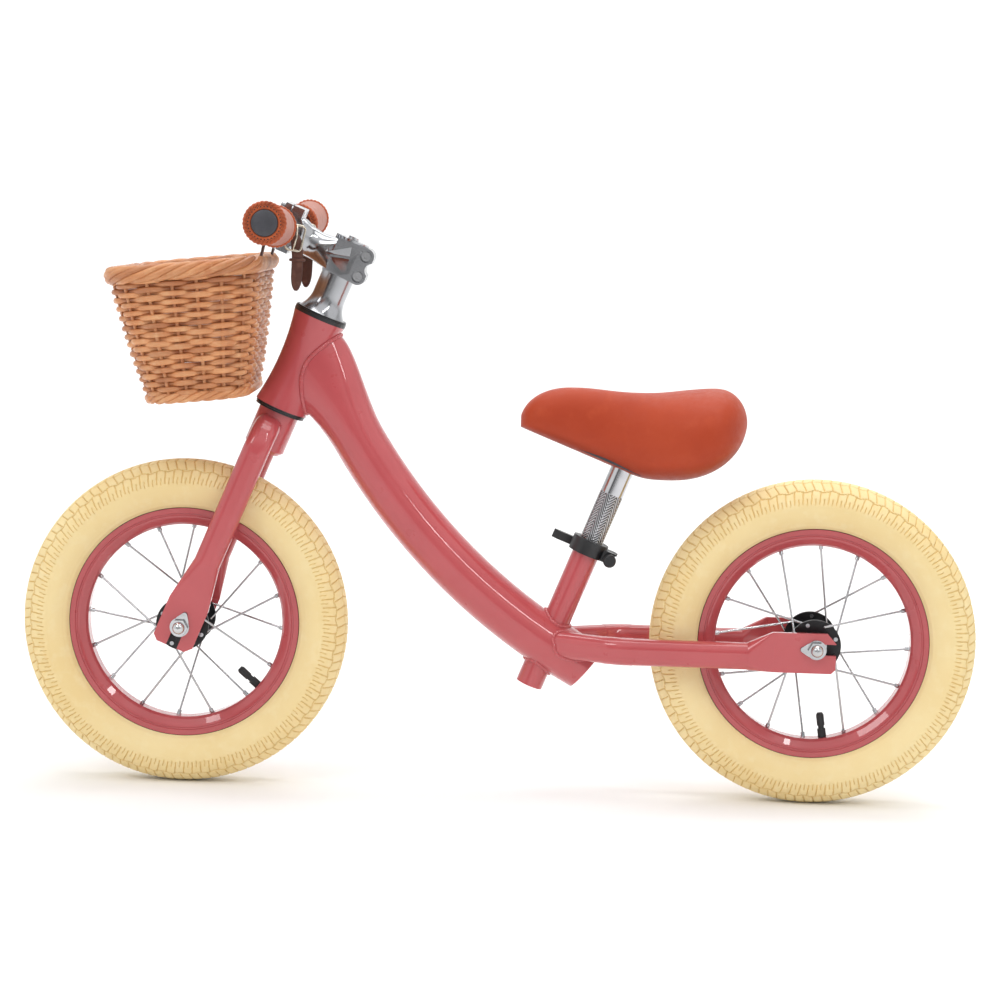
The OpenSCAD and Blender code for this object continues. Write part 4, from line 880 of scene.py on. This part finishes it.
def whip_stitch(braid, hole_shade_dots, place, end, way):
    """A flat leather end face with three cords wound round its edge, and a ring of black dots that paint the
    shade in its stitch holes.
    """
    face = [(11.6, end - way * 4), (11.6, end - way * 0.8), (12.4, end - way * 0.3),
            (15.4, end - way * 0.4), (16.6, end - way * 1.4), (16.2, end - way * 4)]
    braid.revolve(place, face, 96)
    loops, cords, stitches, turn = 10, 3, 30, steps_of(900)
    for k in range(cords):
        t = turn * loops + k * TAU / cords
        ring_r = 16.3 + 1.5 * np.cos(t)
        path = np.stack([ring_r * np.cos(turn), ring_r * np.sin(turn), end - way * 2.9 + 2.1 * np.sin(t)], -1)
        # painted shade: each cord is darker where it winds in to its smallest radius
        braid.rod(place(path), 1.25, 8, True, ref=place([0, 0, 1.0]) - place([0, 0, 0.0]),
                  tint=(0.34 - 0.34 * np.cos(t))[:, None])
    # painted shade: small black balls stand in the stitch holes for the shade inside them
    for k in range(stitches):
        t = (k + 0.5) / stitches * TAU
        hole_shade_dots.ball(place([14.1 * math.cos(t), 14.1 * math.sin(t), end - way * 0.25]), 0.62, 6)


def grips():
    braid, caps, hole_shade_dots = Build(), Build(), Build()
    outer, inner = BAR_LEG, BAR_LEG - GRIP_L
    cap = [(0.01, outer + 1.45), (4.5, outer + 1.45), (10.6, outer + 1.3), (11.3, outer + 0.7),
           (11.45, outer - 2), (0.01, outer - 2)]
    for side, name in ((1, "right_grip"), (-1, "left_grip")):
        place = at_bar_end(side)
        sleeve(place, inner, outer).make(name + "_detail", GRIP, "steering", "grip_leather", (name,))
        whip_stitch(braid, hole_shade_dots, place, outer, 1)
        whip_stitch(braid, hole_shade_dots, place, inner, -1)
        caps.revolve(place, cap, 96)
    braid.make("grip_braids_detail", BRAID, "steering", "braid_leather", ("grip_braids",))
    caps.make("grip_end_caps_detail", CAP, "steering", "cap_plastic", ("grip_end_caps",), sharp=40)
    # black dots that paint shade in the stitch holes
    hole_shade_dots.make("grip_stitch_hole_shade", RUBBER, "steering", "black_rubber")


grips()


# ------------------------------------------------------------ wicker basket
def plan(u, d, w, r):
    """Point and outward normal at share u round a rounded rectangle, d along x and w along y."""
    sx, sy = d - 2 * r, w - 2 * r
    quarter = math.pi / 2 * r
    lens = [sy, quarter, sx, quarter, sy, quarter, sx, quarter]
    ends = np.cumsum(lens)
    s = (np.asarray(u) % 1.0) * ends[-1]
    px, py, nx, ny = (np.zeros_like(s) for _ in range(4))
    corner = [(kx * sx / 2, ky * sy / 2) for kx, ky in ((1, 1), (-1, 1), (-1, -1), (1, -1))]
    for k in range(4):
        lo = ends[2 * k] - lens[2 * k]
        q = (s >= lo) & (s <= ends[2 * k])
        t = s - lo
        a0 = k * math.pi / 2
        n = (math.cos(a0), math.sin(a0))
        along = (-n[1], n[0])
        prev = corner[k - 1]
        base = (prev[0] + n[0] * r, prev[1] + n[1] * r)
        px = np.where(q, base[0] + along[0] * t, px)
        py = np.where(q, base[1] + along[1] * t, py)
        nx, ny = np.where(q, n[0], nx), np.where(q, n[1], ny)
        lo = ends[2 * k]
        q = (s > lo) & (s < ends[2 * k + 1])
        ang = a0 + (s - lo) / r
        px = np.where(q, corner[k][0] + r * np.cos(ang), px)
        py = np.where(q, corner[k][1] + r * np.sin(ang), py)
        nx, ny = np.where(q, np.cos(ang), nx), np.where(q, np.sin(ang), ny)
    return px, py, nx, ny


def wall(u, z, out=0.0):
    """A point of the basket's wall at height z, moved out along its normal."""
    t = np.clip(z / BASKET_H, 0, 1.05)
    belly = 1.8 * np.sin(math.pi * np.clip(t, 0, 1))
    u, t, out = np.broadcast_arrays(np.asarray(u, float), t, out)
    # between the outlines of base and rim, at the same share of the way round
    weave = 5.0
    low = plan(u, BASE_D - weave, BASE_W - weave, PLAN_R - 4)
    high = plan(u, RIM_D - weave, RIM_W - weave, PLAN_R)
    x, y, nx, ny = (a + (b - a) * t for a, b in zip(low, high))
    n = np.hypot(nx, ny)
    o = out + np.broadcast_to(belly, x.shape)
    z = np.broadcast_to(z, x.shape)
    return np.stack([x + nx / n * o, y + ny / n * o, z], -1)


def shade_of(mean, spread, limit=0.9):
    """A random tint for one cane."""
    return np.clip(RNG.normal(mean, spread), 0, limit)


def weavers(b):
    """Rows of cane that pass in front of and behind the stakes by turns."""
    rows, low, high, swing = 26, 8.0, 111.0, 2.5
    u = np.arange(STAKES * 10) / (STAKES * 10)
    outward = wall(u, 60.0, 1.0) - wall(u, 60.0, 0.0)
    for k in range(rows):
        z = low + (high - low) * k / (rows - 1)
        jit = RNG.normal(0, 0.35, STAKES)
        near = np.interp(u * STAKES, np.arange(STAKES + 1), np.append(jit, jit[0]))
        wave = np.cos(math.pi * (u * STAKES + k))
        flat = swing * np.sign(wave) * np.abs(wave) ** 0.75
        path = wall(u, z + near + 0.5 * np.sin(TAU * (u * 3 + k * 0.37)), flat)
        thick = 2.2 + 0.14 * np.sin(TAU * (u * 2 + RNG.random())) + 0.12 * RNG.normal()
        tone = shade_of(0.28, 0.24)
        patch = np.interp(u * 31, np.arange(32), np.append(RNG.normal(0, 0.2, 31), 0))
        # random tone per cane and patch, plus painted shade where the cane passes behind a stake
        tone_and_painted_shade = np.clip(tone + patch + 0.45 * np.clip(-wave, 0, 1), 0, 1)[:, None]
        b.rod(basket(path), thick, 8, True, ref=outward, wide=1.18, tint=tone_and_painted_shade)


def rope(b, z, out, strands, rope_r, strand_r, twists, squash):
    """A twisted border at height z."""
    u = np.arange(720) / 720
    mid = wall(u, z, out)
    normal = wall(u, z, out + 1) - mid
    for k in range(strands):
        t = TAU * (u * twists + k / strands)
        c, n = np.cos(t)[:, None], np.sin(t)[:, None]
        path = mid + rope_r * (c * normal * squash + n * np.array([0, 0, 1.0]))
        wob = strand_r * (1 + 0.1 * np.sin(TAU * (u * 9 + k * 0.3)))
        # random tone per strand, plus painted shade where the strand turns in towards the wall
        tone_and_painted_shade = np.clip(shade_of(0.25, 0.2, 0.8) + 0.5 * np.clip(-c, 0, 1), 0, 1)
        b.rod(basket(path), wob, 10, True, ref=normal, tint=tone_and_painted_shade)


def basket_floor(b):
    """Long sticks woven over seven cross sticks."""
    pitch, stick_r, z = 20.0, 2.0, 4.4
    for k, x in enumerate(np.arange(-38, 39, 4.3)):
        reach = BASE_W / 2 - 8 - max(0, abs(x) - 12) ** 2 / 60
        y = np.linspace(-reach, reach, 90)
        path = np.stack([np.full_like(y, x), y, z + 1.9 * np.cos(math.pi * (y / pitch + k))], -1)
        b.rod(basket(path), stick_r, 7, ref=(0, 0, 1), tint=shade_of(0.4, 0.2))
    for y in np.arange(-3, 4) * pitch:
        half = BASE_D / 2 - 6 - max(0, abs(y) - 44) * 0.9
        x = np.linspace(-half, half, 12)
        path = np.stack([x, np.full_like(x, y), np.full_like(x, z)], -1)
        b.rod(basket(path), stick_r, 7, ref=(0, 0, 1), tint=0.5)


def wicker_basket():
    b = Build()
    weavers(b)
    for k in range(STAKES):
        z = np.linspace(3, 118, 30)
        stake = wall(np.full_like(z, k / STAKES), z, 0.0)
        b.rod(basket(stake), 1.75, 8, ref=(0, 1, 0.02), tint=shade_of(0.4, 0.2))
    rope(b, 117.2, 0.4, 6, 5.2, 3.05, 6, 0.86)
    rope(b, 3.2, 0.6, 4, 2.9, 2.35, 9, 0.9)
    basket_floor(b)
    b.make("basket_wicker", WICKER, "basket", "wicker", ("basket_body",))


wicker_basket()


# ------------------------------------------------------------ straps and buckles
def ribbon(b, path, width, thick, twist):
    """A strap with rounded edges along path. twist turns its broad face from across the bike to along it."""
    t = np.gradient(path, axis=0)
    t /= np.linalg.norm(t, axis=1)[:, None]
    flat = np.cross(t, [0, 1, 0])
    turn = np.broadcast_to(twist, (len(path),))[:, None]
    wide = np.cos(turn) * np.array([0, 1, 0]) + np.sin(turn) * flat
    thin = np.cross(t, wide)
    a = np.linspace(0, TAU, 24, endpoint=False)
    across = np.sign(np.cos(a)) * np.abs(np.cos(a)) ** 0.35
    half = np.broadcast_to(width, (len(path),))[:, None] / 2
    rise = np.sin(a) * thick / 2 * np.clip(1.25 - np.abs(across) ** 6 * 0.45, 0, 1)
    rows = path[:, None] + wide[:, None] * (half * across)[..., None] + thin[:, None] * rise[None, :, None]
    edge = np.clip((np.abs(across) - 0.8) / 0.2, 0, 1) * 0.8
    b.grid(rows, closed_v=True, caps=True, tint=np.tile(edge, (len(path), 1)))


def smooth_path(pts, step, passes):
    fine = resample(np.asarray(pts, float), step, closed=False)[0]
    for _ in range(passes):
        fine[1:-1] = 0.25 * fine[:-2] + 0.5 * fine[1:-1] + 0.25 * fine[2:]
    return fine


def behind_bar(points):
    """Points given as distance behind the bar's middle, y, and distance above it."""
    return np.asarray(points, float) + [BAR[0], 0, BAR[2]]


def strap(b, side):
    """The loop over the bar, and the free end that hangs behind it with its broad face to the side."""
    y, round_bar, tail_w = STRAP_Y * side, 13.6, 10.4
    t = np.radians(np.linspace(215, -35, 44))
    rise = [(-31, y, -42), (-25, y, -40), (-20, y, -34), (-17, y, -24), (-15, y, -14)]
    loop = [(round_bar * math.cos(q), y, round_bar * math.sin(q)) for q in t]
    ribbon(b, smooth_path(behind_bar(rise + loop), 1.0, 5), STRAP_W, 2.2, 0.0)
    drop = smooth_path(behind_bar([(12.6, y, -2), (14.4, y + side * 0.6, -14), (15.6, y + side * 1.6, -26),
                                   (15.2, y + side * 1.4, -42), (14.6, y + side, -STRAP_TAIL)]), 1.0, 6)
    twist = math.pi / 2 * ramp((BAR[2] - drop[:, 2]) / STRAP_TAIL, 0.02, 0.3)
    left = np.arange(len(drop))[::-1]
    point = np.sqrt(np.clip(1 - ((14 - left) / 14.4) ** 2, 0.02, 1))
    ribbon(b, drop, tail_w * np.where(left < 14, point, 1), 2.0, twist)
    a = steps_of(64)
    keeper = np.stack([15.4 + 6.3 * np.cos(a), y + side * 1.3 + 2.3 * np.sin(a), np.full_like(a, -29)], -1)
    b.rod(behind_bar(keeper), 1.3, 8, True, ref=(0, 0, 1))


def buckle(b, side):
    """A bent wire frame and its prong, which stand against the strap's outer face."""
    half_w, half_h, corner, y = 7.4, 11.5, 3.4, (STRAP_Y + 3.4) * side
    c, n = math.cos(0.2), math.sin(0.2)
    outline = []
    for k, (sx, sz) in enumerate(((1, 1), (-1, 1), (-1, -1), (1, -1))):
        for q in np.radians(np.linspace(k * 90, k * 90 + 90, 9)):
            x = sx * (half_w - corner) + corner * math.cos(q)
            z = sz * (half_h - corner) + corner * math.sin(q)
            outline.append((13.2 + x * c + z * n, y - side * 0.06 * z, -9 + z * c - x * n))
    prong = [(15.2, y - side * 0.4, 2.4), (14.6, y + side * 0.9, -9), (11.4, y + side * 0.9, -20.6)]
    b.rod(behind_bar(outline), 1.05, 10, True, ref=(0, 1, 0))
    b.rod(behind_bar(prong), 0.9, 10, ref=(0, 1, 0))


def straps():
    hide, wire = Build(), Build()
    for side in (1, -1):
        strap(hide, side)
        buckle(wire, side)
    hide.make("basket_straps_detail", STRAP, "basket", "strap_leather", ("basket_straps",), sharp=50)
    wire.make("basket_buckles_detail", WIRE, "basket", "buckle_brass", ("basket_buckles",))


straps()


# ------------------------------------------------------------ stage
def stage():
    """A pale sweep that curves up behind the bike, in metres."""
    radius, front, back, top, half = 2.5, -12.0, 1.6, 9.0, 14.0
    turn = np.linspace(0, math.pi / 2, 33)
    ys = np.concatenate([[front], back + radius * np.sin(turn), [back + radius]])
    zs = np.concatenate([[0.0], radius - radius * np.cos(turn), [top]])
    b = Build()
    b.grid(np.stack([np.stack([np.full_like(ys, x), ys, zs], -1) for x in (-half, half)]))
    me = bpy.data.meshes.new("floor")
    me.from_pydata(np.concatenate(b.v).tolist(), [], b.f)
    me.polygons.foreach_set("use_smooth", np.ones(len(me.polygons), bool))
    floor = placed("floor", me)
    m = Mat("floor_paint", (0.93, 0.93, 0.93, 1), 0.85, spec=0.1)
    m.vary((0.915, 0.915, 0.915, 1), 1.5)
    me.materials.append(m.m)


def studio():
    """A soft white world with two dark bands, which give metal something to mirror."""
    world = bpy.data.worlds.new("studio")
    world.use_nodes = True
    bpy.context.scene.world = world
    t = world.node_tree
    where = t.nodes.new("ShaderNodeTexCoord")
    split = t.nodes.new("ShaderNodeSeparateXYZ")
    bands = t.nodes.new("ShaderNodeValToRGB")
    stops = ((0.0, 1.0), (0.16, 1.0), (0.21, 0.16), (0.27, 0.16), (0.33, 1.0), (0.7, 1.0),
             (0.75, 0.22), (0.79, 0.22), (0.86, 1.0), (1.0, 1.0))
    ramp_stops = bands.color_ramp.elements
    while len(ramp_stops) < len(stops):
        ramp_stops.new(0.5)
    for stop, (at, grey) in zip(ramp_stops, stops):
        stop.position, stop.color = at, (grey, grey, grey, 1)

    def across(axis, low, high, to_low):
        n = t.nodes.new("ShaderNodeMapRange")
        for key, value in (("From Min", low), ("From Max", high), ("To Min", to_low)):
            n.inputs[key].default_value = value
        t.links.new(split.outputs[axis], n.inputs["Value"])
        return n.outputs["Result"]

    t.links.new(where.outputs["Generated"], split.inputs["Vector"])
    t.links.new(across("X", -1.0, 1.0, 0.0), bands.inputs["Fac"])
    # the sector behind the camera is dimmer, so metal that faces it isn't blank
    dim = t.nodes.new("ShaderNodeMix")
    dim.data_type, dim.blend_type = "RGBA", "MULTIPLY"
    dim.inputs[0].default_value = 1.0
    t.links.new(bands.outputs["Color"], dim.inputs[6])
    t.links.new(across("Y", -1.0, -0.8, 0.22), dim.inputs[7])
    background = t.nodes["Background"]
    t.links.new(dim.outputs[2], background.inputs["Color"])
    background.inputs["Strength"].default_value = 0.98


def area(name, place, aim, size, power):
    """A rectangular light at place, facing aim, in metres and watts."""
    li = bpy.data.lights.new(name, "AREA")
    li.shape, li.size, li.size_y, li.energy = "RECTANGLE", size[0], size[1], power
    o = placed(name, li)
    facing = (Vector(aim) - Vector(place)).to_track_quat("-Z", "Y")
    o.matrix_world = Matrix.Translation(place) @ facing.to_matrix().to_4x4()


stage()
studio()
area("key", (-1.5, -2.0, 2.2), (0, 0, 0.25), (0.9, 0.9), 15)
area("strip", (1.1, -1.5, 1.9), (0.05, 0, 0.3), (0.12, 1.6), 9)
area("back", (0.4, 1.5, 2.0), (0, 0, 0.3), (2.0, 0.6), 8)
area("top", (0.0, -0.2, 2.6), (0, 0, 0), (2.4, 0.8), 14)
area("backdrop", (0.0, 0.6, 3.2), (0, 4.1, 1.2), (3.0, 1.0), 60)


# ------------------------------------------------------------ camera
def camera(place, yaw, pitch, roll, lens):
    """A camera that looks along +Y, turned by small angles in degrees."""
    cam = bpy.data.cameras.new("camera")
    cam.lens, cam.sensor_width, cam.clip_end = lens, 36.0, 100
    o = placed("camera", cam)
    yaw, pitch, roll = (math.radians(v) for v in (yaw, pitch, roll))
    turn = Matrix.Rotation(roll, 3, "Z") @ Matrix.Rotation(pitch, 3, "X") @ Matrix.Rotation(yaw, 3, "Y")
    look = turn @ Matrix(((1, 0, 0), (0, 0, -1), (0, 1, 0)))
    right, down, ahead = look[0], look[1], look[2]
    rot = Matrix((right, -down, -ahead)).transposed()
    o.matrix_world = Matrix.Translation(place) @ rot.to_4x4()
    bpy.context.scene.camera = o


camera((0.0577, -2.5713, 0.5630), 1.337, 6.393, 1.801, 100.09)
bpy.context.scene.view_settings.view_transform = "Standard"
